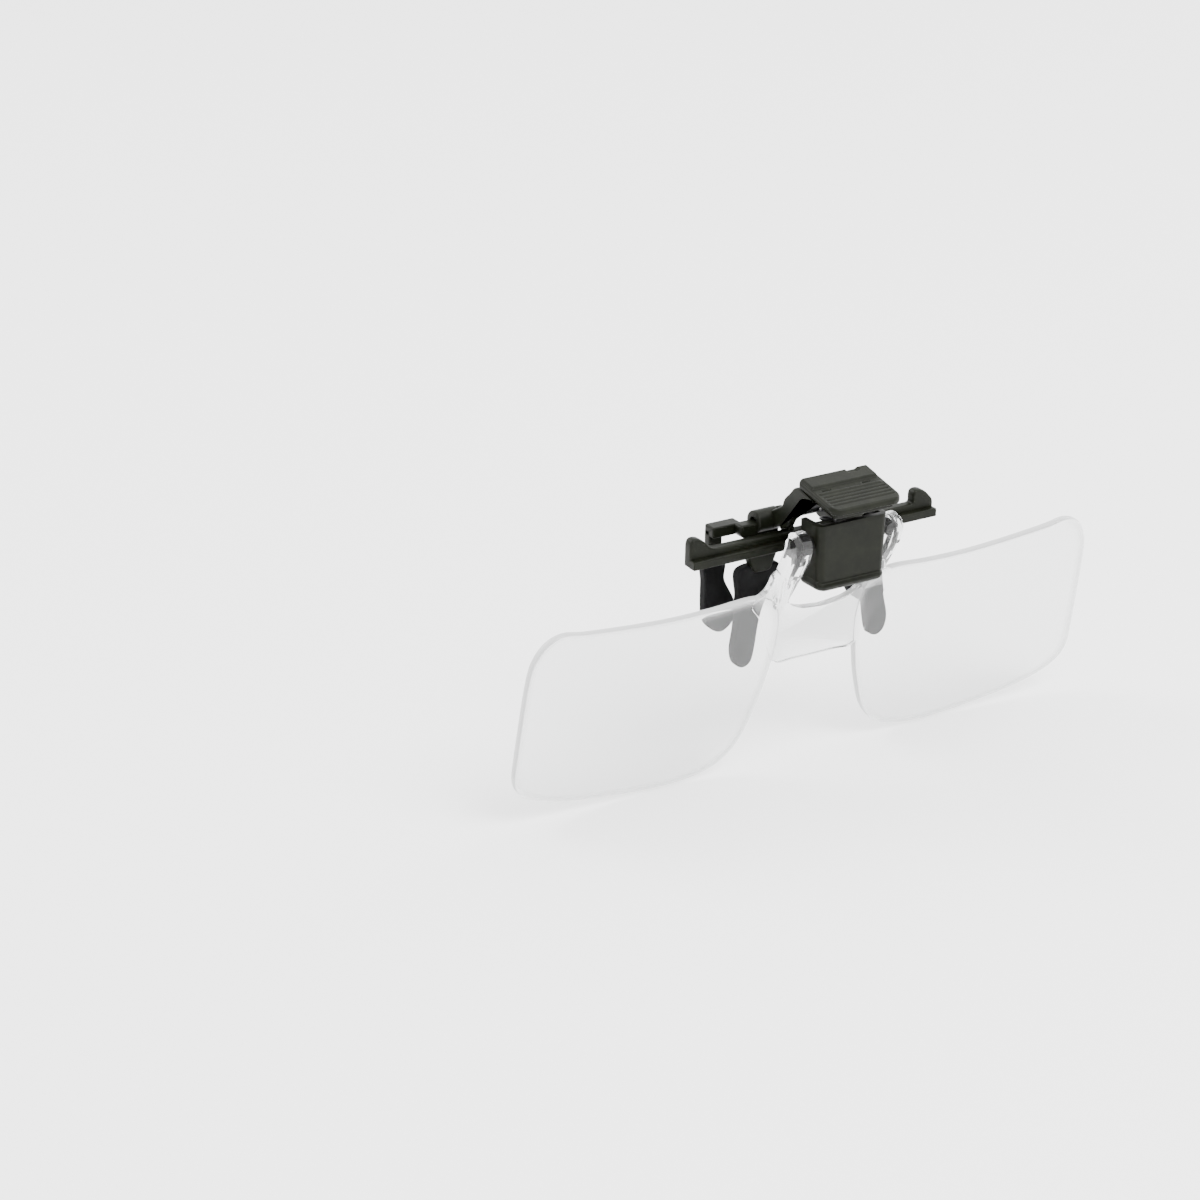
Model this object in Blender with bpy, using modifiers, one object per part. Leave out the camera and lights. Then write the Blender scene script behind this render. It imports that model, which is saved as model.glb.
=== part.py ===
"""Clip-on flip-up magnifying lenses for spectacles, as an assembly of separate pieces.

Metres, +Z up.  The wearer looks along -Y, so the clear lenses hang in front at -Y and the
rubber jaws grip a spectacle rim around the plane y = 0.  The origin is the middle of the
jaw gap.  Run with: blender --background --python part.py
"""

import math

import bmesh
import bpy
from mathutils import Matrix, Vector

mm = 0.001

# ---------------------------------------------------------------- driving dimensions
MESH_GAP = 0.15 * mm          # between pieces that sit on each other
RUN_GAP = 0.10 * mm           # radial clearance of a pin in its hole

# the jaws
JAW_GAP = 3.1 * mm            # between the rubber faces, on a rim
SLEEVE_DEPTH = 2.1 * mm       # front to back, over the rubber
PRONG_DEPTH = 1.0 * mm        # the stiff tongue inside a sleeve

# the front crossbar, its web standing on the jaw side and its rib in front
BAR_LENGTH = 51.4 * mm
BAR_BOTTOM = 10.9 * mm
WEB_HEIGHT = 2.7 * mm
WEB_DEPTH = 2.0 * mm
WEB_BACK = 0.35 * mm          # the web's back face stands this far ahead of the front jaw
RIB_HEIGHT = 1.5 * mm
RIB_DEPTH = 1.2 * mm
EAR_WIDTH = 4.4 * mm
EAR_HEIGHT = 2.4 * mm         # above the web

# the front prongs
FOOT_X = 10.8 * mm            # middle of a foot at the bar
FOOT_TOP_HALF = 3.4 * mm
FOOT_TIP_HALF = 1.7 * mm
FOOT_DROP = 3.4 * mm
FOOT_DEPTH = 2.4 * mm
FRONT_TIP_X = 14.2 * mm       # middle of a front sleeve at its lower end
FRONT_TIP_Z = -9.5 * mm
FRONT_SLEEVE_TOP = 8.3 * mm

# the lever's hinge behind the bar
HINGE_Z = 15.1 * mm
PIN_RADIUS = 0.75 * mm
BARREL_RADIUS = 2.0 * mm
BARREL_OUTER = 10.2 * mm
LUG_INNER = 3.9 * mm
LUG_WIDTH = 1.2 * mm
CHEEK_WIDTH = 1.8 * mm

# the rear jaw
REAR_BAR_END = 13.6 * mm
REAR_BAR_HEIGHT = 2.5 * mm
REAR_BAR_DEPTH = 2.4 * mm
REAR_BAR_TOP = 15.3 * mm
FINGER_X = 16.6 * mm
FINGER_WIDTH = 2.7 * mm
REAR_TIP_X = 15.4 * mm
REAR_TIP_Z = -5.0 * mm
REAR_SLEEVE_TOP = 8.0 * mm
REAR_SLEEVE_WIDTH = 6.3 * mm

# the housing that carries the flip axle
HOUSING_WIDTH = 14.5 * mm
HOUSING_AHEAD = 13.65 * mm    # the housing's front face, ahead of the front jaw
HOUSING_DEPTH = 5.4 * mm
HOUSING_BOTTOM = 6.3 * mm
HOUSING_HEIGHT = 12.3 * mm
HOUSING_WALL = 1.0 * mm
LIP_HEIGHT = 1.6 * mm
LIP_PROUD = 0.5 * mm
DECK_BOTTOM = 10.0 * mm
DECK_THICK = 1.6 * mm
DECK_WIDTH = 9.8 * mm
BACK_WALL_THICK = 0.9 * mm
BACK_WALL_TOP = 16.7 * mm

# the press lever's plate and its cap
PLATE_REAR_AHEAD = 6.85 * mm  # the plate's rear edge, ahead of the front jaw
PLATE_LENGTH = 9.4 * mm
PLATE_WIDTH = 12.4 * mm
PLATE_THICK = 1.2 * mm
PLATE_TILT = math.radians(11.5)
CAP_OVERHANG = 1.4 * mm       # of the cap, in front of the plate
CAP_WIDTH = 14.6 * mm
CAP_THICK = 1.2 * mm
CAP_REAR_TOP = 25.0 * mm
CAP_STEP = 0.5 * mm
CAP_STEP_LENGTH = 3.2 * mm
CAP_RIDGES = 3
CAP_RIDGE_PITCH = 1.0 * mm
CAP_RIDGE_HEIGHT = 0.25 * mm

# the press spring, a compression spring on a stub behind the housing
SPRING_AHEAD = 6.35 * mm      # the spring's axis, ahead of the front jaw
SPRING_RADIUS = 1.45 * mm     # to the middle of the wire
SPRING_WIRE = 0.22 * mm       # radius
SPRING_TURNS = 6
STUB_RADIUS = 0.9 * mm
STUB_HEIGHT = 1.6 * mm
SEAT_RADIUS = 1.9 * mm        # half the block under the plate that the spring presses on
SEAT_HEIGHT = 4.8 * mm        # its face, above the hinge

# the flip axle and its detent
FLIP_AHEAD = 11.05 * mm       # the flip axle, ahead of the front jaw
FLIP_Z = 14.8 * mm
AXLE_RADIUS = 1.2 * mm
AXLE_IN_POST = 2.0 * mm
CAM_FLAT = 2.1 * mm
CAM_LENGTH = 7.0 * mm
LEAF_THICK = 0.3 * mm
LEAF_WIDTH = 2.4 * mm
LEAF_RISE = 1.7 * mm

# the clear lens unit, built upright in its own plane and then tilted about the flip axle
LENS_SPAN = 119.6 * mm
LENS_TILT = math.radians(10.0)
LENS_THICK = 2.0 * mm
LENS_SET_BACK = 2.4 * mm      # front of the lens plane behind the axle
LENS_TOP = -11.45 * mm        # level of the top edge, from the axle
LENS_DROP = 34.6 * mm         # top edge to bottom edge
NOSE_HALF_GAP = 8.7 * mm
BRIDGE_TOP = -15.4 * mm       # from the axle, at the middle
BRIDGE_BOTTOM = -25.5 * mm
POST_GAP = 0.4 * mm           # between a post and the housing
POST_WIDTH = 3.6 * mm
POST_HEAD_RADIUS = 2.6 * mm

# one lens's outline from the post root outwards and round to the bridge: shares of the way
# from the nose gap to the outer end, and of the way from the top edge to the bottom edge
LENS_OUTLINE = (
    (0.13, -0.012), (0.27, 0.0), (0.44, 0.003), (0.61, -0.012), (0.78, -0.036),
    (0.87, -0.056), (0.935, -0.018), (0.976, 0.072), (0.99, 0.19), (0.996, 0.39),
    (1.0, 0.62), (0.998, 0.74), (0.972, 0.82), (0.906, 0.886), (0.79, 0.938),
    (0.65, 0.970), (0.49, 0.994), (0.34, 1.0), (0.22, 0.976), (0.143, 0.918),
    (0.083, 0.810), (0.037, 0.625), (0.010, 0.475),
)

# ---------------------------------------------------------------- worked-out places
FRONT_JAW = -JAW_GAP / 2
REAR_JAW = JAW_GAP / 2
WEB_BACK_Y = FRONT_JAW - WEB_BACK
WEB_FRONT_Y = WEB_BACK_Y - WEB_DEPTH
WEB_TOP = BAR_BOTTOM + WEB_HEIGHT
CHEEK_INNER = LUG_INNER + LUG_WIDTH + 0.3 * mm
HOUSING_FRONT = FRONT_JAW - HOUSING_AHEAD
HOUSING_BACK = HOUSING_FRONT + HOUSING_DEPTH
FLIP_Y = FRONT_JAW - FLIP_AHEAD
SPRING_Y = FRONT_JAW - SPRING_AHEAD
PLATE_REAR = FRONT_JAW - PLATE_REAR_AHEAD
PLATE_FRONT = PLATE_REAR - PLATE_LENGTH
CAP_FRONT = PLATE_FRONT - CAP_OVERHANG
HOUSING_TOP = HOUSING_BOTTOM + HOUSING_HEIGHT
DECK_TOP = DECK_BOTTOM + DECK_THICK
POST_INNER = HOUSING_WIDTH / 2 + POST_GAP
POST_OUTER = POST_INNER + POST_WIDTH


# ---------------------------------------------------------------- scene and helpers
for old in list(bpy.data.objects):
    bpy.data.objects.remove(old, do_unlink=True)

parts = bpy.data.collections.new("clip_on_flip_lenses")
tools = bpy.data.collections.new("cutters_and_joined_shapes")
for group in (parts, tools):
    bpy.context.scene.collection.children.link(group)
tools.hide_render = True


def material(name, color, roughness, metallic=0.0, alpha=1.0):
    """A Principled material with one colour and finish."""
    made = bpy.data.materials.new(name)
    made.use_nodes = True
    shader = made.node_tree.nodes["Principled BSDF"]
    shader.inputs["Base Color"].default_value = (*color, 1.0)
    shader.inputs["Roughness"].default_value = roughness
    shader.inputs["Metallic"].default_value = metallic
    shader.inputs["Alpha"].default_value = alpha
    return made


CLIP_PLASTIC = material("clip_plastic", (0.035, 0.037, 0.026), 0.42)
CAP_PLASTIC = material("cap_plastic", (0.038, 0.040, 0.029), 0.40)
CLEAR_ACRYLIC = material("clear_acrylic", (0.93, 0.95, 0.95), 0.03, alpha=0.25)
RUBBER = material("rubber", (0.014, 0.014, 0.015), 0.75)
STEEL = material("steel", (0.55, 0.55, 0.56), 0.25, metallic=1.0)
AXLE_PLASTIC = material("axle_plastic", (0.02, 0.02, 0.018), 0.5)


def new_object(name, mesh, group, finish=None):
    """Put a mesh into one of the two collections, as a part or as a helper."""
    obj = bpy.data.objects.new(name, mesh)
    group.objects.link(obj)
    if finish:
        mesh.materials.append(finish)
    if group is tools:
        obj.hide_render = True
        obj.display_type = "WIRE"
    return obj


def mesh_from(bm, name):
    bmesh.ops.recalc_face_normals(bm, faces=bm.faces)
    mesh = bpy.data.meshes.new(name)
    bm.to_mesh(mesh)
    bm.free()
    return mesh


def block(name, low, high, group=tools, finish=None):
    """A box between two corners."""
    bm = bmesh.new()
    bmesh.ops.create_cube(bm, size=1.0)
    size = Vector(high) - Vector(low)
    middle = (Vector(high) + Vector(low)) / 2
    bmesh.ops.scale(bm, vec=size, verts=bm.verts)
    bmesh.ops.translate(bm, vec=middle, verts=bm.verts)
    return new_object(name, mesh_from(bm, name), group, finish)


def rod(name, start, end, y, z, radius, group=tools, finish=None, sides=32):
    """A cylinder along X between two x values, about the line at (y, z)."""
    bm = bmesh.new()
    bmesh.ops.create_cone(
        bm, cap_ends=True, segments=sides, radius1=radius, radius2=radius, depth=end - start
    )
    bmesh.ops.rotate(bm, cent=(0, 0, 0), matrix=Matrix.Rotation(math.pi / 2, 3, "Y"), verts=bm.verts)
    bmesh.ops.translate(bm, vec=((start + end) / 2, y, z), verts=bm.verts)
    return new_object(name, mesh_from(bm, name), group, finish)


def post(name, y, low, high, foot_radius, top_radius):
    """An upright cone or cylinder on the centre plane, between two levels."""
    bm = bmesh.new()
    bmesh.ops.create_cone(
        bm, cap_ends=True, segments=24, radius1=foot_radius, radius2=top_radius, depth=high - low
    )
    bmesh.ops.translate(bm, vec=(0.0, y, (low + high) / 2), verts=bm.verts)
    return new_object(name, mesh_from(bm, name), tools)


def slab(name, outline, low, high, along="Y", group=tools, finish=None):
    """A closed flat outline given thickness along an axis, from low to high.

    The outline's two numbers are (x, z) for a slab along Y and (y, z) for a slab along X.
    """
    curve = bpy.data.curves.new(name, "CURVE")
    curve.dimensions = "2D"
    curve.fill_mode = "BOTH"
    curve.extrude = (high - low) / 2
    line = curve.splines.new("POLY")
    line.points.add(len(outline) - 1)
    for point, (a, b) in zip(line.points, outline):
        point.co = (a, b, 0.0, 1.0)
    line.use_cyclic_u = True
    flat = bpy.data.objects.new(name + "_curve", curve)
    parts.objects.link(flat)
    graph = bpy.context.evaluated_depsgraph_get()
    mesh = bpy.data.meshes.new_from_object(flat.evaluated_get(graph))
    bpy.data.objects.remove(flat, do_unlink=True)
    bm = bmesh.new()
    bm.from_mesh(mesh)
    bpy.data.meshes.remove(mesh)
    bmesh.ops.remove_doubles(bm, verts=bm.verts, dist=1e-6)
    middle = (low + high) / 2
    if along == "Y":
        turn = Matrix(((1, 0, 0), (0, 0, -1), (0, 1, 0)))
        shift = (0, middle, 0)
    else:
        turn = Matrix(((0, 0, 1), (1, 0, 0), (0, 1, 0)))
        shift = (middle, 0, 0)
    bmesh.ops.rotate(bm, cent=(0, 0, 0), matrix=turn, verts=bm.verts)
    bmesh.ops.translate(bm, vec=shift, verts=bm.verts)
    return new_object(name, mesh_from(bm, name), group, finish)


def combine(target, tool, operation):
    """Join a helper to a part, or cut it away, with an exact Boolean."""
    step = target.modifiers.new(operation.lower() + "_" + tool.name, "BOOLEAN")
    step.operation = operation
    step.solver = "EXACT"
    step.object = tool


def join(target, *others):
    for other in others:
        combine(target, other, "UNION")


def cut(target, *others):
    for other in others:
        combine(target, other, "DIFFERENCE")


def bevel(target, width, segments=1):
    """Rounded edges wherever two faces meet at more than 35 degrees."""
    step = target.modifiers.new("rounded_edges", "BEVEL")
    step.width = width
    step.segments = segments
    step.limit_method = "ANGLE"
    step.angle_limit = math.radians(35)


def set_origin(obj, place):
    """Move an object's origin to a place without moving its surface."""
    obj.data.transform(Matrix.Translation(-Vector(place)))
    obj.location = place


def smooth_line(points, steps, closed=False):
    """Points along a Catmull-Rom curve through the given points, ends included."""
    count = len(points)
    spans = count if closed else count - 1
    line = []
    for i in range(spans):
        if closed:
            p0, p1, p2, p3 = (points[(i + k) % count] for k in (-1, 0, 1, 2))
        else:
            p0, p1, p2, p3 = (points[min(max(i + k, 0), count - 1)] for k in (-1, 0, 1, 2))
        for s in range(steps):
            t = s / steps
            line.append(tuple(
                0.5 * (2 * b + (c - a) * t + (2 * a - 5 * b + 4 * c - d) * t**2
                       + (3 * b - a - 3 * c + d) * t**3)
                for a, b, c, d in zip(p0, p1, p2, p3)
            ))
    if not closed:
        line.append(tuple(points[-1]))
    return line


def arc(centre, radius, start, end, steps):
    """Points round part of a circle, with angles in degrees."""
    return [
        (centre[0] + radius * math.cos(math.radians(start + (end - start) * i / steps)),
         centre[1] + radius * math.sin(math.radians(start + (end - start) * i / steps)))
        for i in range(steps + 1)
    ]


def mirrored(outline, side):
    """The outline on the +X side, or its mirror image on the -X side."""
    return outline if side > 0 else [(-a, b) for a, b in reversed(outline)]


SIDES = (("left", -1), ("right", 1))     # as seen from the front


# ---------------------------------------------------------------- jaw outlines
def leg_outline(top_x, top_z, tip_x, tip_z, top_half, tip_half, grow=0.0):
    """A leg that leans from its top to a round tip: (x, z) points, grown by a clearance."""
    lean = math.atan2(tip_x - top_x, top_z - tip_z)
    tip = tip_half + grow
    centre = (tip_x - tip_half * math.sin(lean), tip_z + tip_half * math.cos(lean))
    low = math.degrees(lean) - 180
    return (
        [(top_x - top_half - grow, top_z + grow)]
        + arc(centre, tip, low, low + 180, 10)
        + [(top_x + top_half + grow, top_z + grow)]
    )


def front_foot(side, grow=0.0, name="front_foot"):
    """The wedge under the crossbar and the tongue that runs on into the sleeve."""
    top = BAR_BOTTOM + 0.5 * mm
    tip = BAR_BOTTOM - FOOT_DROP
    wedge = [
        (FOOT_X - FOOT_TOP_HALF - grow, top), (FOOT_X - FOOT_TIP_HALF - grow, tip - grow),
        (FOOT_X + FOOT_TIP_HALF + grow, tip - grow), (FOOT_X + FOOT_TOP_HALF + grow, top),
    ]
    middle = FRONT_JAW - SLEEVE_DEPTH / 2
    foot = slab(
        f"{name}_wedge_{side}", mirrored(wedge, side),
        middle - FOOT_DEPTH / 2 - 0.4 * mm - grow, middle + 0.4 * mm + grow,
    )
    tongue = slab(
        f"{name}_tongue_{side}",
        mirrored(leg_outline(FOOT_X, tip + 1.0 * mm, FRONT_TIP_X - 0.3 * mm,
                             FRONT_TIP_Z + 1.6 * mm, 1.3 * mm, 1.3 * mm, grow), side),
        middle - PRONG_DEPTH / 2 - grow, middle + PRONG_DEPTH / 2 + grow,
    )
    return foot, tongue


def front_sleeve_outline():
    """A leg-shaped sleeve, wide where it starts under the foot and round at its tip."""
    top, tip = FRONT_SLEEVE_TOP, FRONT_TIP_Z
    drop = top - tip
    points = [
        (FOOT_X + 4.1 * mm, top), (FOOT_X + 4.2 * mm, top - 0.30 * drop),
        (FOOT_X + 4.9 * mm, top - 0.58 * drop), (FRONT_TIP_X + 2.3 * mm, top - 0.80 * drop),
        (FRONT_TIP_X + 1.7 * mm, tip + 1.0 * mm), (FRONT_TIP_X + 0.1 * mm, tip),
        (FRONT_TIP_X - 1.5 * mm, tip + 0.9 * mm), (FRONT_TIP_X - 2.2 * mm, top - 0.80 * drop),
        (FRONT_TIP_X - 2.8 * mm, top - 0.58 * drop), (FOOT_X - 0.6 * mm, top - 0.36 * drop),
        (FOOT_X - 2.8 * mm, top - 0.14 * drop), (FOOT_X - 3.6 * mm, top),
    ]
    return smooth_line(points, 4)


def rear_prong(side, grow=0.0, name="rear_prong"):
    """The stiff tongue at the end of a rear finger, inside its sleeve."""
    middle = REAR_JAW + SLEEVE_DEPTH / 2
    return slab(
        f"{name}_{side}",
        mirrored(leg_outline(FINGER_X, REAR_SLEEVE_TOP + 1.5 * mm, REAR_TIP_X,
                             REAR_TIP_Z + 1.5 * mm, FINGER_WIDTH / 2, FINGER_WIDTH / 2, grow), side),
        middle - PRONG_DEPTH / 2 - grow, middle + PRONG_DEPTH / 2 + grow,
    )


def rear_sleeve_outline():
    """A drop shape, narrow at its collar and round below."""
    top, tip, half = REAR_SLEEVE_TOP, REAR_TIP_Z, REAR_SLEEVE_WIDTH / 2
    drop = top - tip
    points = [
        (FINGER_X + 2.0 * mm, top), (FINGER_X + 2.0 * mm, top - 0.25 * drop),
        (REAR_TIP_X + half, top - 0.60 * drop), (REAR_TIP_X + 0.86 * half, tip + 0.13 * drop),
        (REAR_TIP_X, tip), (REAR_TIP_X - 0.86 * half, tip + 0.13 * drop),
        (REAR_TIP_X - half, top - 0.60 * drop), (FINGER_X - 2.1 * mm, top - 0.25 * drop),
        (FINGER_X - 2.0 * mm, top),
    ]
    return smooth_line(points, 4)


# ---------------------------------------------------------------- front frame
def bar_outline():
    """Front view of the crossbar, with an ear at each end: a steep side towards -X, a round
    top and a slope down towards +X, the same way round at both ends."""
    half, top, ear_top = BAR_LENGTH / 2, WEB_TOP, WEB_TOP + EAR_HEIGHT
    round_top = 1.25 * mm

    def ear(start):
        return (
            arc((start + round_top, ear_top - round_top), round_top, 180, 45, 6)
            + [(start + EAR_WIDTH, top)]
        )

    return (
        [(half, BAR_BOTTOM), (-half, BAR_BOTTOM)] + ear(-half)
        + [(half - EAR_WIDTH, top)] + ear(half - EAR_WIDTH)
    )


def lug_outline():
    """A lug from the web back to a round eye about the hinge, as (y, z) points."""
    eye = arc((0.0, HINGE_Z), BARREL_RADIUS - 0.1 * mm, -100, 130, 14)
    return [(WEB_FRONT_Y + 0.3 * mm, WEB_TOP - 1.0 * mm), (WEB_BACK_Y - 0.2 * mm, WEB_TOP - 1.2 * mm)] \
        + eye + [(WEB_FRONT_Y + 0.3 * mm, WEB_TOP + 0.5 * mm)]


def make_clip_frame():
    """One moulding: crossbar with ears, two prongs, hinge lugs, deck and back wall."""
    half = BAR_LENGTH / 2
    frame = slab("clip_frame", bar_outline(), WEB_FRONT_Y, WEB_BACK_Y, "Y", parts, CLIP_PLASTIC)
    join(frame, block("rib", (-half + 0.03 * mm, WEB_FRONT_Y - RIB_DEPTH, BAR_BOTTOM - 0.05 * mm),
                      (half - 0.03 * mm, WEB_FRONT_Y + 0.5 * mm, BAR_BOTTOM + RIB_HEIGHT)))
    for _, side in SIDES:
        join(frame, *front_foot(side))
        inner = LUG_INNER if side > 0 else -LUG_INNER - LUG_WIDTH
        join(frame, slab(f"lug_{side}", lug_outline(), inner, inner + LUG_WIDTH, "X"))
    deck_half = DECK_WIDTH / 2
    wall_half = HOUSING_WIDTH / 2 - HOUSING_WALL - MESH_GAP
    wall_back = HOUSING_BACK - 0.2 * mm
    join(
        frame,
        block("deck", (-deck_half, HOUSING_FRONT + HOUSING_WALL + MESH_GAP, DECK_BOTTOM),
              (deck_half, WEB_FRONT_Y + 0.6 * mm, DECK_TOP)),
        block("back_wall", (-wall_half, wall_back - BACK_WALL_THICK, DECK_BOTTOM + 0.3 * mm),
              (wall_half, wall_back, BACK_WALL_TOP)),
    )
    join(frame, post("spring_stub", SPRING_Y, DECK_TOP - 0.4 * mm, DECK_TOP + STUB_HEIGHT,
                     STUB_RADIUS, 0.8 * STUB_RADIUS))
    reach = LUG_INNER + LUG_WIDTH + 1.0 * mm
    cut(frame, rod("lug_bore", -reach, reach, 0.0, HINGE_Z, PIN_RADIUS + RUN_GAP))
    return frame


# ---------------------------------------------------------------- housing cover
def make_housing():
    """A box with an open top and back that slides over the deck and carries the axle."""
    half = HOUSING_WIDTH / 2
    wall = HOUSING_WALL
    cover = block("housing_cover", (-half, HOUSING_FRONT, HOUSING_BOTTOM),
                  (half, HOUSING_BACK, HOUSING_TOP), parts, CLIP_PLASTIC)
    bevel(cover, 0.6 * wall)
    lip = block("lip", (-half + 0.4 * mm, HOUSING_FRONT - LIP_PROUD, HOUSING_BOTTOM),
                (half - 0.4 * mm, HOUSING_FRONT + 0.5 * mm, HOUSING_BOTTOM + LIP_HEIGHT))
    hollow = block("hollow", (-half + wall, HOUSING_FRONT + wall, HOUSING_BOTTOM + wall),
                   (half - wall, HOUSING_BACK + 1.0 * mm, HOUSING_TOP + 1.0 * mm))
    holes = rod("axle_holes", -half - 1.0 * mm, half + 1.0 * mm, FLIP_Y, FLIP_Z, AXLE_RADIUS + RUN_GAP)
    join(cover, lip)
    cut(cover, hollow, holes)
    return cover


# ---------------------------------------------------------------- press lever
def plate_level(y):
    """Height of the lever plate's top face, which slopes down towards the front."""
    cap_foot = CAP_REAR_TOP - CAP_THICK / math.cos(PLATE_TILT) - MESH_GAP
    return cap_foot + (y - PLATE_REAR) * math.tan(PLATE_TILT)


def plate_outline():
    """Side view of the plate that the cap sits on, as (y, z) points."""
    thick = PLATE_THICK / math.cos(PLATE_TILT)
    return [
        (PLATE_FRONT, plate_level(PLATE_FRONT) - thick), (PLATE_REAR, plate_level(PLATE_REAR) - thick),
        (PLATE_REAR, plate_level(PLATE_REAR)), (PLATE_FRONT, plate_level(PLATE_FRONT)),
    ]


def cheek_outline():
    """Side view of one arm, from under the plate back and down to the hinge barrel."""
    top = plate_level(PLATE_REAR)
    barrel = arc((0.0, HINGE_Z), BARREL_RADIUS, 115, -130, 18)
    return [
        (PLATE_REAR - 4.0 * mm, plate_level(PLATE_REAR - 4.0 * mm) - 0.3 * mm), (PLATE_REAR - 0.2 * mm, top - 0.1 * mm),
        (PLATE_REAR + 1.2 * mm, top - 0.5 * mm), (PLATE_REAR + 2.1 * mm, top - 1.6 * mm),
        (PLATE_REAR + 4.2 * mm, HINGE_Z + 5.0 * mm),
    ] + barrel + [
        (PLATE_REAR + 5.0 * mm, HINGE_Z - 0.6 * mm), (PLATE_REAR + 3.0 * mm, HINGE_Z + 0.2 * mm),
        (PLATE_REAR + 2.2 * mm, HINGE_Z + 1.2 * mm), (PLATE_REAR - 1.5 * mm, HINGE_Z + 6.2 * mm),
        (PLATE_REAR - 2.6 * mm, HINGE_Z + 7.0 * mm),
    ]


def rear_wall_outline():
    """Side view of the wall that joins the two arms above the hinge."""
    top = plate_level(PLATE_REAR)
    wall = 1.3 * mm
    return [
        (PLATE_REAR - 0.6 * mm, top - 0.2 * mm), (PLATE_REAR + 1.1 * mm, top - 0.6 * mm),
        (PLATE_REAR + 2.0 * mm, top - 1.6 * mm), (PLATE_REAR + 4.1 * mm, HINGE_Z + 4.9 * mm),
        (PLATE_REAR + 4.1 * mm - wall, HINGE_Z + 4.5 * mm), (PLATE_REAR + 1.0 * mm, top - 2.4 * mm),
        (PLATE_REAR - 0.6 * mm, top - 1.2 * mm),
    ]


def seat_outline():
    """Side view of the block under the plate that the spring presses on."""
    front, back, low = SPRING_Y - SEAT_RADIUS, SPRING_Y + SEAT_RADIUS, HINGE_Z + SEAT_HEIGHT
    top = plate_level(PLATE_REAR)
    return [(front, low), (back, low), (back, top - 2.7 * mm), (PLATE_REAR + 1.1 * mm, top - 1.5 * mm),
            (front, plate_level(front) - 0.6 * mm)]


def make_press_lever():
    """One moulding: plate, two arms, hinge barrels, two half bars and two fingers."""
    half = PLATE_WIDTH / 2
    lever = slab("press_lever", plate_outline(), -half, half, "X", parts, CLIP_PLASTIC)
    join(lever, slab("rear_wall", rear_wall_outline(), -CHEEK_INNER - 0.4 * mm, CHEEK_INNER + 0.4 * mm, "X"))
    join(lever, slab("spring_seat", seat_outline(), -SEAT_RADIUS, SEAT_RADIUS, "X"))
    bar_bottom = REAR_BAR_TOP - REAR_BAR_HEIGHT
    finger_front = REAR_JAW + SLEEVE_DEPTH / 2 - 0.85 * mm
    finger_back = REAR_JAW + SLEEVE_DEPTH / 2 + 0.85 * mm
    for _, side in SIDES:
        cheek_low = min(side * CHEEK_INNER, side * (CHEEK_INNER + CHEEK_WIDTH))
        join(lever, slab(f"cheek_{side}", cheek_outline(), cheek_low, cheek_low + CHEEK_WIDTH, "X"))
        ends = sorted((side * (CHEEK_INNER + 0.2 * mm), side * BARREL_OUTER))
        join(lever, rod(f"barrel_{side}", ends[0], ends[1], 0.0, HINGE_Z, BARREL_RADIUS + 0.02 * mm))
        ends = sorted((side * (CHEEK_INNER + 0.1 * mm), side * REAR_BAR_END))
        join(lever, block(f"rear_bar_{side}", (ends[0], -REAR_BAR_DEPTH / 2, bar_bottom),
                          (ends[1], REAR_BAR_DEPTH / 2, REAR_BAR_TOP)))
        ends = sorted((side * (REAR_BAR_END - 1.6 * mm), side * (FINGER_X + FINGER_WIDTH / 2)))
        join(lever, block(f"link_{side}", (ends[0], finger_front - 1.0 * mm, bar_bottom + 0.4 * mm),
                          (ends[1], finger_back, REAR_BAR_TOP - 0.1 * mm)))
        ends = sorted((side * (FINGER_X - FINGER_WIDTH / 2), side * (FINGER_X + FINGER_WIDTH / 2)))
        join(lever, block(f"finger_{side}", (ends[0], finger_front, REAR_SLEEVE_TOP + 0.4 * mm),
                          (ends[1], finger_back, bar_bottom + 1.0 * mm)))
        join(lever, rear_prong(side))
    reach = BARREL_OUTER + 1.0 * mm
    cut(lever, rod("barrel_bore", -reach, reach, 0.0, HINGE_Z, PIN_RADIUS + RUN_GAP))
    set_origin(lever, (0.0, 0.0, HINGE_Z))
    return lever


def make_press_cap():
    """The thumb cap over the plate, with a raised step behind and ridges in front."""
    half = CAP_WIDTH / 2
    rise = math.tan(PLATE_TILT)
    foot = lambda y: plate_level(y) + MESH_GAP
    top = lambda y: foot(y) + CAP_THICK / math.cos(PLATE_TILT)
    outline = [(CAP_FRONT, foot(CAP_FRONT)), (PLATE_REAR, foot(PLATE_REAR)), (PLATE_REAR, top(PLATE_REAR)),
               (CAP_FRONT + 0.2 * mm, top(CAP_FRONT))]
    cap = slab("press_cap", outline, -half, half, "X", parts, CAP_PLASTIC)
    bevel(cap, 0.3 * CAP_THICK)
    start = PLATE_REAR - CAP_STEP_LENGTH
    step = [(start, top(start) - 0.3 * mm), (PLATE_REAR, top(PLATE_REAR) - 0.3 * mm),
            (PLATE_REAR, top(PLATE_REAR) + CAP_STEP), (start + 0.3 * mm, top(start) + CAP_STEP)]
    join(cap, slab("cap_step", step, -half + 0.7 * mm, half - 0.7 * mm, "X"))
    for i in range(CAP_RIDGES):
        y = CAP_FRONT + 1.2 * mm + i * CAP_RIDGE_PITCH
        wide = 0.5 * mm
        ridge = [(y, top(y) - 0.2 * mm), (y + wide, top(y + wide) - 0.2 * mm),
                 (y + 0.7 * wide, top(y) + CAP_RIDGE_HEIGHT + rise * 0.7 * wide),
                 (y + 0.3 * wide, top(y) + CAP_RIDGE_HEIGHT + rise * 0.3 * wide)]
        join(cap, slab(f"ridge_{i}", ridge, -half + 1.0 * mm, half - 1.0 * mm, "X"))
    set_origin(cap, (0.0, 0.0, HINGE_Z))
    return cap


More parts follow.
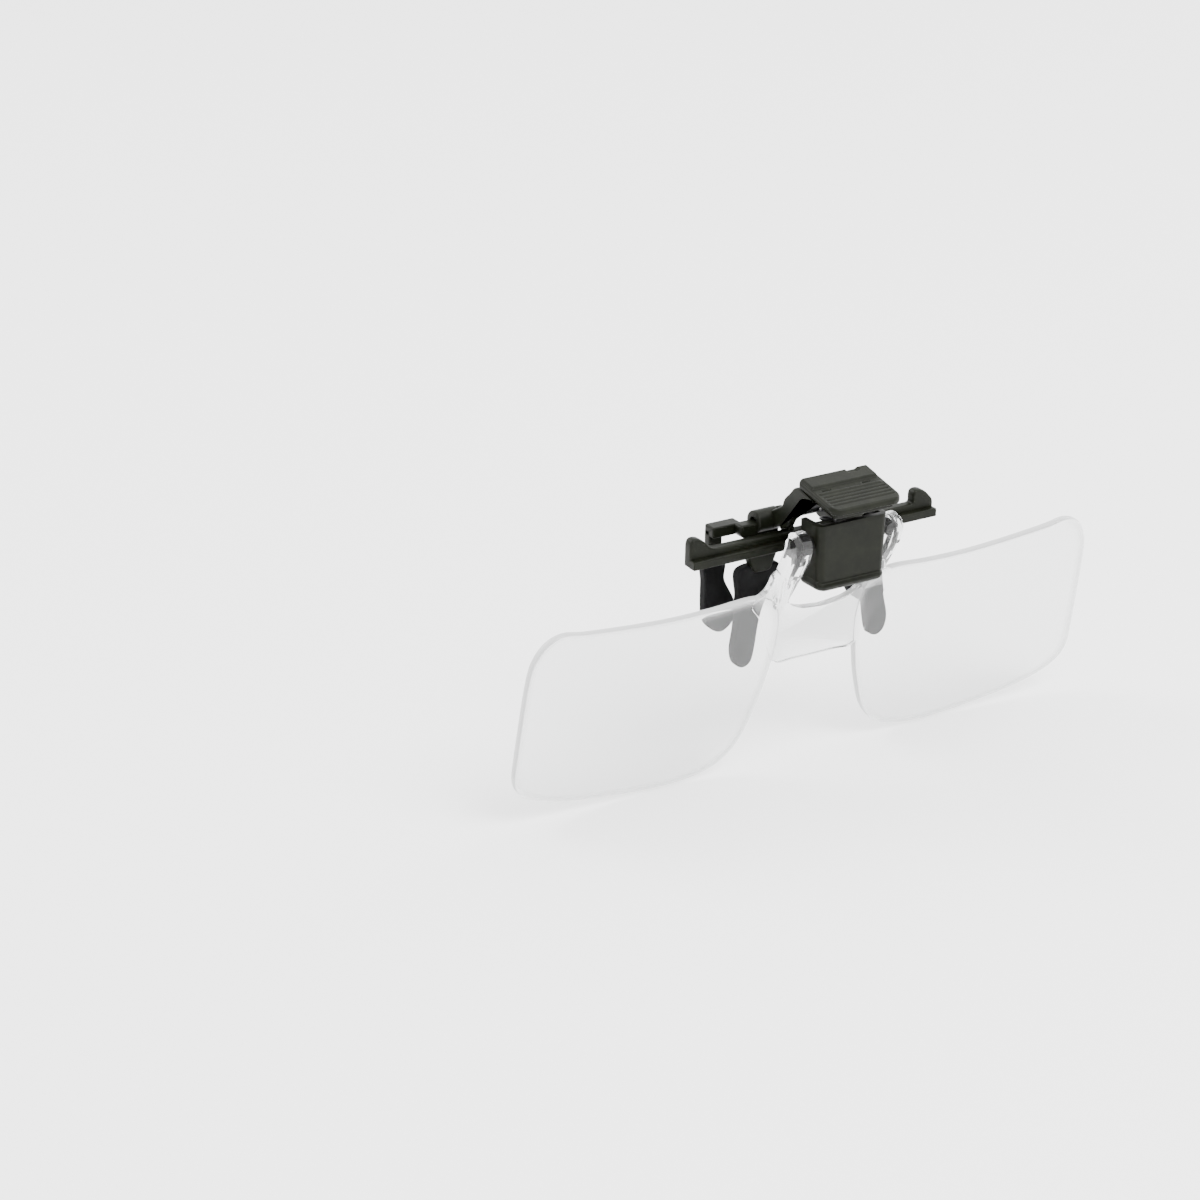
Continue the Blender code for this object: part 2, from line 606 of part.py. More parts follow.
def make_hinge_pin():
    """The steel pin through the barrels and lugs, a little below the barrels' ends."""
    reach = BARREL_OUTER - 1.0 * mm
    pin = rod("hinge_pin", -reach, reach, 0.0, HINGE_Z, PIN_RADIUS, parts, STEEL, sides=24)
    return pin


def make_press_spring():
    """A wire helix from the deck up to the seat under the plate."""
    low = DECK_TOP + SPRING_WIRE + MESH_GAP
    high = HINGE_Z + SEAT_HEIGHT - SPRING_WIRE - MESH_GAP
    steps = 12
    count = SPRING_TURNS * steps
    wire = bpy.data.curves.new("press_spring", "CURVE")
    wire.dimensions = "3D"
    wire.bevel_depth = SPRING_WIRE
    wire.bevel_resolution = 1
    wire.use_fill_caps = True
    line = wire.splines.new("POLY")
    line.points.add(count)
    for i, point in enumerate(line.points):
        turn = 2 * math.pi * i / steps
        # the end turns lie flat and the others climb evenly
        share = min(max((i - steps) / (count - 2 * steps), 0.0), 1.0)
        flat = 2.1 * SPRING_WIRE * (min(i, steps) + max(i - count + steps, 0)) / steps
        level = low + flat + share * (high - low - 4.2 * SPRING_WIRE)
        point.co = (SPRING_RADIUS * math.cos(turn), SPRING_Y + SPRING_RADIUS * math.sin(turn), level, 1.0)
    spring = bpy.data.objects.new("press_spring", wire)
    wire.materials.append(STEEL)
    parts.objects.link(spring)
    return spring


# ---------------------------------------------------------------- flip axle and detent
def make_flip_axle():
    """A round axle with a square middle, which the leaf spring holds at each quarter turn."""
    reach = POST_INNER + AXLE_IN_POST
    axle = rod("flip_axle", -reach, reach, 0.0, 0.0, AXLE_RADIUS, parts, AXLE_PLASTIC, sides=28)
    half = CAM_FLAT / 2
    corner = 0.35 * mm
    square = [
        (half, -half + corner), (half, half - corner), (half - corner, half), (-half + corner, half),
        (-half, half - corner), (-half, -half + corner), (-half + corner, -half), (half - corner, -half),
    ]
    groove = [(-2 * AXLE_RADIUS, -2 * AXLE_RADIUS), (2 * AXLE_RADIUS, -2 * AXLE_RADIUS),
              (2 * AXLE_RADIUS, 2 * AXLE_RADIUS), (-2 * AXLE_RADIUS, 2 * AXLE_RADIUS)]
    cam_half = CAM_LENGTH / 2
    cut(axle, slab("cam_space", groove, -cam_half, cam_half, "X"))
    join(axle, slab("cam", square, -cam_half - 0.3 * mm, cam_half + 0.3 * mm, "X"))
    axle.location = (0.0, FLIP_Y, FLIP_Z)
    for tool in ("cam_space", "cam"):
        bpy.data.objects[tool].location = axle.location
    return axle


def make_detent_leaf():
    """A bent steel strip across the housing that presses on the square of the axle."""
    reach = HOUSING_WIDTH / 2 - HOUSING_WALL - MESH_GAP
    low = FLIP_Z + CAM_FLAT / 2 + 0.1 * mm
    middle = [(-reach, low + LEAF_RISE), (-0.78 * reach, low + 0.92 * LEAF_RISE),
              (-0.55 * reach, low + 0.12 * LEAF_RISE), (-0.40 * reach, low),
              (0.40 * reach, low), (0.55 * reach, low + 0.12 * LEAF_RISE),
              (0.78 * reach, low + 0.92 * LEAF_RISE), (reach, low + LEAF_RISE)]
    under = smooth_line(middle, 4)
    over = [(x, z + LEAF_THICK) for x, z in reversed(under)]
    front = HOUSING_FRONT + HOUSING_WALL + MESH_GAP
    return slab("detent_leaf_spring", under + over, front, front + LEAF_WIDTH, "Y", parts, STEEL)


# ---------------------------------------------------------------- clear lens unit
def lens_plan():
    """The whole flat outline of both lenses, the bridge and the post roots, as (x, z)."""
    half_span = LENS_SPAN / 2
    root_top = LENS_TOP + 4.8 * mm
    lens = [
        (NOSE_HALF_GAP + a * (half_span - NOSE_HALF_GAP), LENS_TOP - b * LENS_DROP)
        for a, b in LENS_OUTLINE
    ]
    outer = smooth_line(
        [(POST_OUTER, root_top), (POST_OUTER + 0.6 * mm, root_top - 2.6 * mm),
         (POST_OUTER + 1.8 * mm, LENS_TOP + 0.9 * mm)] + lens
        + [(NOSE_HALF_GAP - 0.3 * mm, BRIDGE_BOTTOM - 0.5 * mm), (NOSE_HALF_GAP - 1.5 * mm, BRIDGE_BOTTOM)],
        3,
    )
    inner = [(0.6 * POST_INNER, BRIDGE_TOP + 0.5 * mm), (0.9 * POST_INNER, BRIDGE_TOP + 1.5 * mm),
             (POST_INNER, BRIDGE_TOP + 2.9 * mm), (POST_INNER, root_top)]
    right = inner + outer
    left = [(-x, z) for x, z in reversed(right)]
    return [(0.0, BRIDGE_TOP)] + right + [(0.0, BRIDGE_BOTTOM)] + left


def post_profile():
    """Side view of one post in the lens unit's own frame, as (y, z) from the axle."""
    front, back = LENS_SET_BACK, LENS_SET_BACK + LENS_THICK
    r = POST_HEAD_RADIUS
    head = arc((0.0, 0.0), r, 10, 200, 20)
    return [(back - 0.05 * mm, LENS_TOP + 3.0 * mm), (r * 0.985, -1.2 * mm)] + head + [
        (-r * 0.90, -1.9 * mm), (front + 0.05 * mm, LENS_TOP - 2.6 * mm),
        (back - 0.05 * mm, LENS_TOP - 2.6 * mm),
    ]


def make_lens_unit():
    """One clear moulding: two lenses, the bridge between them and two posts."""
    front = LENS_SET_BACK
    unit = slab("lens_unit", lens_plan(), front, front + LENS_THICK, "Y", parts, CLEAR_ACRYLIC)
    bevel(unit, 0.15 * LENS_THICK)
    place = Matrix.Translation((0.0, FLIP_Y, FLIP_Z)) @ Matrix.Rotation(LENS_TILT, 4, "X")
    reach = POST_INNER + AXLE_IN_POST + MESH_GAP
    shapes = [rod("axle_sockets", -reach, reach, 0.0, 0.0, AXLE_RADIUS + 0.05 * mm, sides=28)]
    for _, side in SIDES:
        ends = sorted((side * POST_INNER, side * POST_OUTER))
        shapes.append(slab(f"post_{side}", post_profile(), ends[0], ends[1], "X"))
    join(unit, *shapes[1:])
    cut(unit, shapes[0])
    for obj in [unit] + shapes:
        obj.matrix_world = place
    return unit


# ---------------------------------------------------------------- sleeves
def make_sleeves():
    """Four rubber sleeves, each slid over a tongue."""
    grow = 0.1 * mm
    for name, side in SIDES:
        sleeve = slab(f"front_{name}_sleeve", mirrored(front_sleeve_outline(), side),
                      FRONT_JAW - SLEEVE_DEPTH, FRONT_JAW, "Y", parts, RUBBER)
        bevel(sleeve, 0.15 * SLEEVE_DEPTH)
        cut(sleeve, *front_foot(side, grow, f"front_{name}_pocket"))
        middle = REAR_JAW + SLEEVE_DEPTH / 2
        sleeve = slab(f"rear_{name}_sleeve", mirrored(rear_sleeve_outline(), side),
                      middle - SLEEVE_DEPTH / 2, middle + SLEEVE_DEPTH / 2, "Y", parts, RUBBER)
        bevel(sleeve, 0.15 * SLEEVE_DEPTH)
        cut(sleeve, rear_prong(side, grow, f"rear_{name}_pocket"))


make_clip_frame()
make_housing()
make_press_lever()
make_press_cap()
make_hinge_pin()
make_press_spring()
make_flip_axle()
make_detent_leaf()
make_lens_unit()
make_sleeves()

for part in parts.objects:
    if part.type == "MESH":
        part.data.shade_smooth()
        part.data.set_sharp_from_angle(angle=math.radians(30))
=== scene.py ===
# %% [markdown]
# # Clip-on flip-up magnifying lenses
# A clear twin-lens moulding hangs on two glassy posts in front of a small olive-black
# spring clip.  The clip's rubber jaws hold a spectacle rim, its thumb lever opens them, and
# the lenses flip up about an axle in the housing.  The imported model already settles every
# size and every joint, so this lesson only makes the fine surfaces and the finishes.

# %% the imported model
import math

import bmesh
import bpy
import numpy as np
from mathutils import Matrix, Vector


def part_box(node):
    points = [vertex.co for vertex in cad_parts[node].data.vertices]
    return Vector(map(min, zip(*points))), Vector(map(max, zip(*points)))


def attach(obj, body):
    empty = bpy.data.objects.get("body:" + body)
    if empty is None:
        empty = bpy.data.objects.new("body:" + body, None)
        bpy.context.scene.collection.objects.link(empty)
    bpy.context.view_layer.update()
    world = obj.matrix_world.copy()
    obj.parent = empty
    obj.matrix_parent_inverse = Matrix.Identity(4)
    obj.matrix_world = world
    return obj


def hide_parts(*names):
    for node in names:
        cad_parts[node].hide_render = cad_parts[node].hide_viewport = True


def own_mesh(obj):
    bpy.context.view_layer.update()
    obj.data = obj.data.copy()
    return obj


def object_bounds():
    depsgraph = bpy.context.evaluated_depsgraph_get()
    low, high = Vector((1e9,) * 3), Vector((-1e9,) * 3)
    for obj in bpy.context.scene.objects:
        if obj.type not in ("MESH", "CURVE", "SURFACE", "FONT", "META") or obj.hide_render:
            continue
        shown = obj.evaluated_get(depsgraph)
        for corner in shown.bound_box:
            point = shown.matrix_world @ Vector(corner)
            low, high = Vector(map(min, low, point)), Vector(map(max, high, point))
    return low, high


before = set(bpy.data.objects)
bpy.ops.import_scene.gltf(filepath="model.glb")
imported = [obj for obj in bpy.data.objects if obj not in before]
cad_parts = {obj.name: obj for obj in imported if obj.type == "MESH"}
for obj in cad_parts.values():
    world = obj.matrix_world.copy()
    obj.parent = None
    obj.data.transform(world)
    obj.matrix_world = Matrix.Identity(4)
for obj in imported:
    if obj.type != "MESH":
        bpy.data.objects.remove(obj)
cad_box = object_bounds()

# %% [markdown]
# ## Camera
# The object is a hand's width across, seen from its left front and a little above through a
# long lens, so it looks almost parallel.  A camera's matrix has its right, up and backward
# directions as columns; working them out from two angles and a roll keeps the view readable.

# %% camera
mm = 0.001
AIM = Vector((-15.34, 39.65, -12.5)) * mm
AZIMUTH, ELEVATION, ROLL = (math.radians(a) for a in (-33.124, 22.542, 1.069))
DISTANCE = 673 * mm

camera_data = bpy.data.cameras.new("camera")
camera_data.lens = 111.07
camera_data.sensor_width = 36.0
camera_data.clip_start = 0.01
camera_data.clip_end = 20.0
camera = bpy.data.objects.new("camera", camera_data)
bpy.context.scene.collection.objects.link(camera)
back = Vector((
    math.sin(AZIMUTH) * math.cos(ELEVATION),
    -math.cos(AZIMUTH) * math.cos(ELEVATION),
    math.sin(ELEVATION),
))
right = Vector((math.cos(AZIMUTH), math.sin(AZIMUTH), 0.0))
up = back.cross(right)
level = Matrix((right, up, back)).transposed()
turn = Matrix.Rotation(ROLL, 3, "Z")
camera.matrix_world = Matrix.Translation(AIM + back * DISTANCE) @ (level @ turn).to_4x4()
bpy.context.scene.camera = camera

# %% [markdown]
# ## Floor and light
# Clear plastic shows only what it reflects and bends, so it needs something bright all round
# it: a pale floor, a white surround and two big soft panels.  The panels are large against a
# 12 cm object, which keeps the shadows faint and draws long highlights on the dark clip.

# %% floor and light
FLOOR_DROP = 0.3 * mm         # the floor lies this far under the lowest lens edge


def floor():
    """A square plate far wider than the view, its top just under the object."""
    z = cad_box[0][2] - FLOOR_DROP
    half = 4.0
    mesh = bpy.data.meshes.new("floor")
    mesh.from_pydata([(-half, -half, z), (half, -half, z), (half, half, z), (-half, half, z)], [],
                     [(0, 1, 2, 3)])
    made = bpy.data.objects.new("floor", mesh)
    bpy.context.scene.collection.objects.link(made)
    return made


def panel(name, place, size, power, color=(1.0, 1.0, 1.0)):
    """A square soft light that faces the middle of the object."""
    light = bpy.data.lights.new(name, "AREA")
    light.shape = "SQUARE"
    light.size = size
    light.energy = power
    light.color = color
    made = bpy.data.objects.new(name, light)
    made.location = place
    made.rotation_euler = Vector(place).to_track_quat("Z", "Y").to_euler()
    bpy.context.scene.collection.objects.link(made)


floor_object = floor()
panel("key_panel", (0.15, -0.75, 0.95), 0.7, 24.0)
panel("rear_panel", (-0.55, 0.75, 0.75), 0.6, 10.0)
panel("side_panel", (0.95, 0.1, 0.45), 0.5, 6.0)
world = bpy.data.worlds.new("white_surround")
world.use_nodes = True
world.node_tree.nodes["Background"].inputs["Color"].default_value = (1.0, 1.0, 1.0, 1.0)
world.node_tree.nodes["Background"].inputs["Strength"].default_value = 2.8
bpy.context.scene.world = world

# %% [markdown]
# ## Shader sums in Python
# A finish is a sum of noises and masks.  Wrapping a shader socket in a small class lets the
# sum be written as one: `0.4 + 0.1 * grain` makes the Math nodes by itself.


# %% shader helper
class Wire:
    """A shader socket that takes part in Python sums."""

    def __init__(self, tree, socket):
        self.tree, self.socket = tree, socket

    def node(self, kind, settings=None, sockets=None, output=0):
        """Any node: its settings are set first, then its sockets are filled or linked."""
        made = self.tree.nodes.new(kind)
        for key, value in (settings or {}).items():
            setattr(made, key, value)
        for key, value in (sockets or {}).items():
            if isinstance(value, Wire):
                self.tree.links.new(value.socket, made.inputs[key])
            else:
                made.inputs[key].default_value = value
        return Wire(self.tree, made.outputs[output])

    def math(self, operation, *values):
        return self.node("ShaderNodeMath", {"operation": operation}, dict(enumerate(values)))

    def __add__(self, other):
        return self.math("ADD", self, other)

    def __sub__(self, other):
        return self.math("SUBTRACT", self, other)

    def __rsub__(self, other):
        return self.math("SUBTRACT", other, self)

    def __mul__(self, other):
        return self.math("MULTIPLY", self, other)

    __radd__, __rmul__ = __add__, __mul__

    def step(self, low, high):
        """0 below low, 1 above high, and a smooth ramp between; low may be the larger."""
        return self.node("ShaderNodeMapRange", {"interpolation_type": "SMOOTHSTEP"},
                         {"Value": self, "From Min": low, "From Max": high})

    def noise(self, scale, detail=3.0, roughness=0.55):
        """Cloudy noise from 0 to 1 at a number of lumps per metre."""
        return self.node("ShaderNodeTexNoise", {}, {"Vector": self, "Scale": scale, "Detail": detail,
                                                    "Roughness": roughness})

    def part(self, axis):
        """One coordinate of a vector."""
        return self.node("ShaderNodeSeparateXYZ", {}, {"Vector": self}, axis)

    def blend(self, low, high):
        """A colour between two, by this value."""
        return self.node("ShaderNodeMix", {"data_type": "RGBA"}, {"Factor": self, 6: low, 7: high}, 2)


def begin(name, **constants):
    """A new material, its Principled shader with these constants set, and its Object coordinates."""
    made = bpy.data.materials.new(name)
    made.use_nodes = True
    tree = made.node_tree
    shader = tree.nodes["Principled BSDF"]
    for key, value in constants.items():
        shader.inputs[key.replace("_", " ")].default_value = value
    place = Wire(tree, tree.nodes.new("ShaderNodeTexCoord").outputs["Object"])
    return made, shader, place


def feed(shader, **wires):
    """Link worked-out values to a shader's sockets."""
    for key, wire in wires.items():
        wire.tree.links.new(wire.socket, shader.inputs[key.replace("_", " ")])


def bumped(height, depth, strength=1.0):
    """A normal that tilts as if the surface rose by depth metres where height is 1."""
    return height.node("ShaderNodeBump", {}, {"Height": height, "Distance": depth, "Strength": strength})


# %% [markdown]
# ## Olive-black moulded plastic
# The clip's mouldings come from a finely sparked tool: nearly black with a green cast, satin,
# and a little glossier and paler where hands rub the high places.  Two noises do it, a slow
# one for the tone and a fine one for the grain.


# %% moulded plastic
def moulded_plastic(name, dark, pale, rough, grain=0.006 * mm):
    made, shader, place = begin(name, IOR=1.45, Coat_Weight=0.0, Specular_IOR_Level=0.12)
    tone = place.noise(260.0, 4.0, 0.6)
    speckle = place.noise(9000.0, 2.0, 0.7)
    wear = place.noise(900.0, 5.0, 0.65).step(0.45, 0.75)
    color = (tone.step(0.3, 0.7) * 0.6 + wear * 0.4).blend((*dark, 1), (*pale, 1))
    feed(shader, Base_Color=color, Roughness=rough + 0.10 * tone - 0.05 * wear + 0.06 * speckle,
         Normal=bumped(speckle, grain))
    return made


CLIP = moulded_plastic("olive_black_plastic", (0.0022, 0.0027, 0.0012), (0.0054, 0.0062, 0.0032), 0.36)
CAP = moulded_plastic("olive_black_cap", (0.0028, 0.0034, 0.0016), (0.0066, 0.0075, 0.0040), 0.36)
AXLE = moulded_plastic("black_axle_plastic", (0.003, 0.003, 0.0028), (0.006, 0.006, 0.0055), 0.42)

# %% [markdown]
# ## Rubber, spring steel
# Rubber scatters light widely, so it is rough, and its sleeves carry a
# fine dusty mottle.  The steel is drawn wire and rolled strip, blackened, with thin streaks.


# %% rubber and steel
def soft_rubber():
    made, shader, place = begin("black_rubber", IOR=1.45, Specular_IOR_Level=0.10)
    dust = place.noise(700.0, 4.0, 0.6)
    pores = place.noise(5200.0, 3.0, 0.6)
    color = dust.step(0.35, 0.8).blend((0.0026, 0.0026, 0.0028, 1), (0.0065, 0.0065, 0.0068, 1))
    feed(shader, Base_Color=color, Roughness=0.58 + 0.25 * pores, Normal=bumped(pores, 0.012 * mm))
    return made


def spring_steel():
    made, shader, place = begin("blackened_spring_steel", Metallic=1.0)
    stretched = place.node("ShaderNodeMapping", {}, {"Vector": place, "Scale": (1.0, 14.0, 14.0)})
    streaks = stretched.noise(900.0, 3.0, 0.6)
    color = streaks.blend((0.018, 0.018, 0.019, 1), (0.045, 0.045, 0.046, 1))
    feed(shader, Base_Color=color, Roughness=0.36 + 0.18 * streaks, Normal=bumped(streaks, 0.003 * mm))
    return made


RUBBER = soft_rubber()
STEEL = spring_steel()

# %% [markdown]
# ## Clear acrylic
# The lenses are one polished acrylic moulding.  Refraction gives the glitter in its posts.  A
# very thin pale veil lies over it, as clear plastic carries a little haze.  The bridge between
# the lenses is frosted, so a mask in x and z raises the veil there.  A number stored on the mesh
# raises it along the lenses' rims too, as painted highlight: white bands painted in for the light
# the rims catch and bend.

# %% clear acrylic
BRIDGE_HALF = 8.0 * mm


def clear_acrylic():
    made, shader, place = begin(
        "clear_acrylic", Base_Color=(0.88, 0.885, 0.885, 1.0), Transmission_Weight=1.0, IOR=1.46,
        Specular_IOR_Level=0.25)
    tree = made.node_tree
    ripple = place.noise(120.0, 2.0, 0.5)
    across, height = place.part(0).math("ABSOLUTE"), place.part(2)
    frost = across.step(BRIDGE_HALF + 0.6 * mm, BRIDGE_HALF - 0.4 * mm) \
        * height.step(2.2 * mm, 0.6 * mm)
    cloud = place.noise(420.0, 4.0, 0.6)
    # painted highlight: the stored rim number whitens the lenses' rims with the veil
    rim = place.node("ShaderNodeAttribute", {"attribute_name": "rim"}, {}, 2)
    feed(shader, Roughness=0.01 + 0.20 * frost, Normal=bumped(ripple, 0.01 * mm))
    veil = tree.nodes.new("ShaderNodeBsdfPrincipled")
    veil.inputs["Base Color"].default_value = (0.82, 0.825, 0.825, 1.0)
    veil.inputs["Roughness"].default_value = 0.35
    # the veil's share: a little haze everywhere, more on the frosted bridge, and painted highlight along the
    # rims
    mixed = place.node("ShaderNodeMixShader", {}, {
        0: 0.004 + frost * (0.34 + 0.25 * cloud) + 0.5 * rim,
        1: Wire(tree, shader.outputs[0]), 2: Wire(tree, veil.outputs[0])})
    tree.links.new(mixed.socket, tree.nodes["Material Output"].inputs["Surface"])
    return made


ACRYLIC = clear_acrylic()


def studio_floor():
    """A matt pale floor with the faintest change of gloss."""
    made, shader, place = begin("pale_floor", Base_Color=(0.9, 0.9, 0.9, 1.0))
    feed(shader, Roughness=0.55 + 0.1 * place.noise(30.0))
    return made


floor_object.data.materials.append(studio_floor())

# %% [markdown]
# ## Outlines
# Most of the clip is made of plates, so a plate's outline comes first.  Corners are rounded
# with a curve that leaves each side a little before the corner, and free outlines run through
# their points as a smooth curve.  Both are worked out for all points at once.


# %% outlines
def rounded(points, radius, steps=5):
    """A polygon with its corners rounded, in mm, as an array.

    Each corner becomes (1-t)^2 a + 2t(1-t) corner + t^2 b, where a and b lie on the sides
    next to it, at the radius from the corner or nearly half a side if that is shorter.
    """
    p = np.array(points, float)
    before, after = np.roll(p, 1, 0) - p, np.roll(p, -1, 0) - p
    long_before = np.linalg.norm(before, axis=1, keepdims=True)
    long_after = np.linalg.norm(after, axis=1, keepdims=True)
    reach = np.broadcast_to(np.array(radius, float).reshape(-1, 1), (len(p), 1))
    a = p + before * np.minimum(reach / long_before, 0.46)
    b = p + after * np.minimum(reach / long_after, 0.46)
    t = np.linspace(0, 1, steps)[None, :, None]
    curve = (1 - t) ** 2 * a[:, None] + 2 * t * (1 - t) * p[:, None] + t**2 * b[:, None]
    return curve.reshape(-1, 2)


def through(points, steps=6, closed=True):
    """A Catmull-Rom curve through the points: each stretch blends four neighbours by cubics."""
    p = np.array(points, float)
    count = len(p)
    index = np.arange(count if closed else count - 1)
    pick = (lambda k: p[(index + k) % count]) if closed else (lambda k: p[np.clip(index + k, 0, count - 1)])
    p0, p1, p2, p3 = (pick(k)[:, None] for k in (-1, 0, 1, 2))
    t = (np.arange(steps) / steps)[None, :, None]
    curve = 0.5 * (2 * p1 + (p2 - p0) * t + (2 * p0 - 5 * p1 + 4 * p2 - p3) * t**2
                   + (3 * p1 - p0 - 3 * p2 + p3) * t**3)
    curve = curve.reshape(-1, p.shape[1])
    return curve if closed else np.vstack([curve, p[-1:]])


def ring(centre, radius, start, end, steps):
    """Points round part of a circle, angles in degrees."""
    a = np.radians(np.linspace(start, end, steps))
    return np.stack([centre[0] + radius * np.cos(a), centre[1] + radius * np.sin(a)], 1)


def mirror(points):
    """The outline on the other side of the centre plane, still running the same way round."""
    return (np.array(points, float) * (-1, 1))[::-1]


# %% [markdown]
# ## Plates
# A moulded plate has no sharp rim.  Its skin is a grid: one way runs round the outline, the
# other way climbs over the rim, where each row is the outline drawn in by r(1 - sin a) and
# raised by r(1 - cos a) as a goes from 0 to 90 degrees, and the same again at the other face.


# %% plates
def mesh_object(name, points, faces):
    mesh = bpy.data.meshes.new(name)
    mesh.from_pydata(np.asarray(points, float).tolist(), [], [list(map(int, f)) for f in faces])
    mesh.validate()
    made = bpy.data.objects.new(name, mesh)
    bpy.context.scene.collection.objects.link(made)
    return made


def skin(rows, columns, wrap=True):
    """Four-sided faces of a grid of rows by columns, closed round its columns if wrap."""
    j, i = np.meshgrid(np.arange(rows - 1), np.arange(columns if wrap else columns - 1), indexing="ij")
    k = (i + 1) % columns
    return np.stack([j * columns + i, j * columns + k, (j + 1) * columns + k, (j + 1) * columns + i],
                    -1).reshape(-1, 4)


def inset(loop, distance):
    """The outline moved inwards: each corner goes along its two sides' normals added and
    divided by one plus their dot product, which keeps the width even."""
    side = np.roll(loop, -1, 0) - loop
    normal = np.stack([side[:, 1], -side[:, 0]], 1)
    normal /= np.maximum(np.linalg.norm(normal, axis=1, keepdims=True), 1e-9)
    before = np.roll(normal, 1, 0)
    corner = (normal + before) / np.maximum(1 + (normal * before).sum(1, keepdims=True), 0.35)
    return loop - distance * corner


def plate(name, loop, low, high, rim=0.3, along="y", rows=4):
    """A closed outline given thickness along an axis, with rounded rims, in mm.

    The outline's numbers are (x, z) along y, (y, z) along x and (x, y) along z, and it runs
    anticlockwise.
    """
    loop = np.array(loop, float)
    if area(loop) < 0:
        loop = loop[::-1]
    keep = np.linalg.norm(loop - np.roll(loop, 1, 0), axis=1) > 1e-4
    loop = loop[keep]
    a = np.linspace(0, math.pi / 2, rows)
    draw_in = np.concatenate([rim * (1 - np.sin(a)), rim * (1 - np.sin(a[::-1]))])
    depth = np.concatenate([low + rim * (1 - np.cos(a)), high - rim * (1 - np.cos(a[::-1]))])
    grid = np.stack([np.column_stack([inset(loop, d), np.full(len(loop), z)])
                     for d, z in zip(draw_in, depth)])
    order = {"x": (2, 0, 1), "y": (0, 2, 1), "z": (0, 1, 2)}[along]
    points = grid.reshape(-1, 3)[:, order]
    count, total = len(loop), len(draw_in)
    faces = skin(total, count).tolist()
    faces += [list(range(count))[::-1], list(range((total - 1) * count, total * count))]
    if along == "y":
        faces = [f[::-1] for f in faces]
    return mesh_object(name, points, faces)


def area(loop):
    """Twice the signed area of an outline, positive if it runs anticlockwise."""
    after = np.roll(loop, -1, 0)
    return float((loop[:, 0] * after[:, 1] - loop[:, 1] * after[:, 0]).sum())


def bar(name, low, high, rim=0.3, along="x", corner=0.3):
    """A bar between two corners of a box, its long edges rounded."""
    (x0, y0, z0), (x1, y1, z1) = low, high
    flat, ends = {"x": ([(y0, z0), (y1, z0), (y1, z1), (y0, z1)], (x0, x1)),
                  "y": ([(x0, z0), (x1, z0), (x1, z1), (x0, z1)], (y0, y1)),
                  "z": ([(x0, y0), (x1, y0), (x1, y1), (x0, y1)], (z0, z1))}[along]
    return plate(name, rounded(flat, corner), *ends, rim, along)


def turned(name, profile, centre, sides=48):
    """A closed (x, r) profile turned about a line along X through centre = (y, z).

    Point (x, r) at angle a lies at (x, y + r cos a, z + r sin a).
    """
    profile = np.array(profile, float)
    a = np.linspace(0, 2 * math.pi, sides, endpoint=False)
    x = np.broadcast_to(profile[:, 0][:, None], (len(profile), sides))
    y = centre[0] + profile[:, 1][:, None] * np.cos(a)
    z = centre[1] + profile[:, 1][:, None] * np.sin(a)
    points = np.stack([x, y, z], -1).reshape(-1, 3)
    rows = np.vstack([np.arange(len(points)).reshape(len(profile), sides), np.arange(sides)])
    j, i = np.meshgrid(np.arange(len(profile)), np.arange(sides), indexing="ij")
    k = (i + 1) % sides
    faces = np.stack([rows[j, i], rows[j, k], rows[j + 1, k], rows[j + 1, i]], -1).reshape(-1, 4)
    return mesh_object(name, points, faces)


# %% [markdown]
# ## Joining plates into one moulding
# A moulding is one body, so its plates are joined with exact Boolean unions and the result is
# kept as a plain mesh.  The exact solver loses faces on some of these shapes, so every join is
# measured before it is kept.  Weighted normals keep the flats flat beside rounded rims.


# %% joining
def outward(mesh):
    """Faces turned to point out of a closed mesh."""
    work = bmesh.new()
    work.from_mesh(mesh)
    bmesh.ops.remove_doubles(work, verts=work.verts, dist=1e-4)
    bmesh.ops.recalc_face_normals(work, faces=work.faces)
    work.to_mesh(mesh)
    work.free()


def measured(mesh):
    """Open edges and signed volume of a mesh, to tell a sound join from a failed one."""
    work = bmesh.new()
    work.from_mesh(mesh)
    found = sum(len(edge.link_faces) != 2 for edge in work.edges), work.calc_volume(signed=True)
    work.free()
    return found


def united(name, shapes, holes=()):
    """One mesh from several closed ones, less the holes.

    A join is kept only if it is closed and its volume is no less than the base's, or half of
    it for a hole.  A shape whose join fails stays whole inside the same mesh, as a closed
    shell that overlaps the rest, and a hole that fails is left out.
    """
    for tool in list(shapes) + list(holes):
        outward(tool.data)
    base, whole = shapes[0], []
    for tool in list(shapes[1:]) + list(holes):
        cut = tool in holes
        step = base.modifiers.new(tool.name, "BOOLEAN")
        step.operation = "DIFFERENCE" if cut else "UNION"
        step.solver = "EXACT"
        step.object = tool
        graph = bpy.context.evaluated_depsgraph_get()
        mesh = bpy.data.meshes.new_from_object(base.evaluated_get(graph))
        base.modifiers.clear()
        loose, volume = measured(mesh)
        least = measured(base.data)[1] * (0.5 if cut else 1.0)
        if loose or volume < least:
            print(f"{name}: {tool.name} kept as its own shell")
            if not cut:
                whole.append(tool.data)
        else:
            base.data = mesh
    work = bmesh.new()
    for mesh in [base.data] + whole:
        work.from_mesh(mesh)
    mesh = bpy.data.meshes.new(name)
    work.to_mesh(mesh)
    work.free()
    for tool in list(shapes) + list(holes):
        bpy.data.objects.remove(tool, do_unlink=True)
    made = bpy.data.objects.new(name, mesh)
    bpy.context.scene.collection.objects.link(made)
    return made


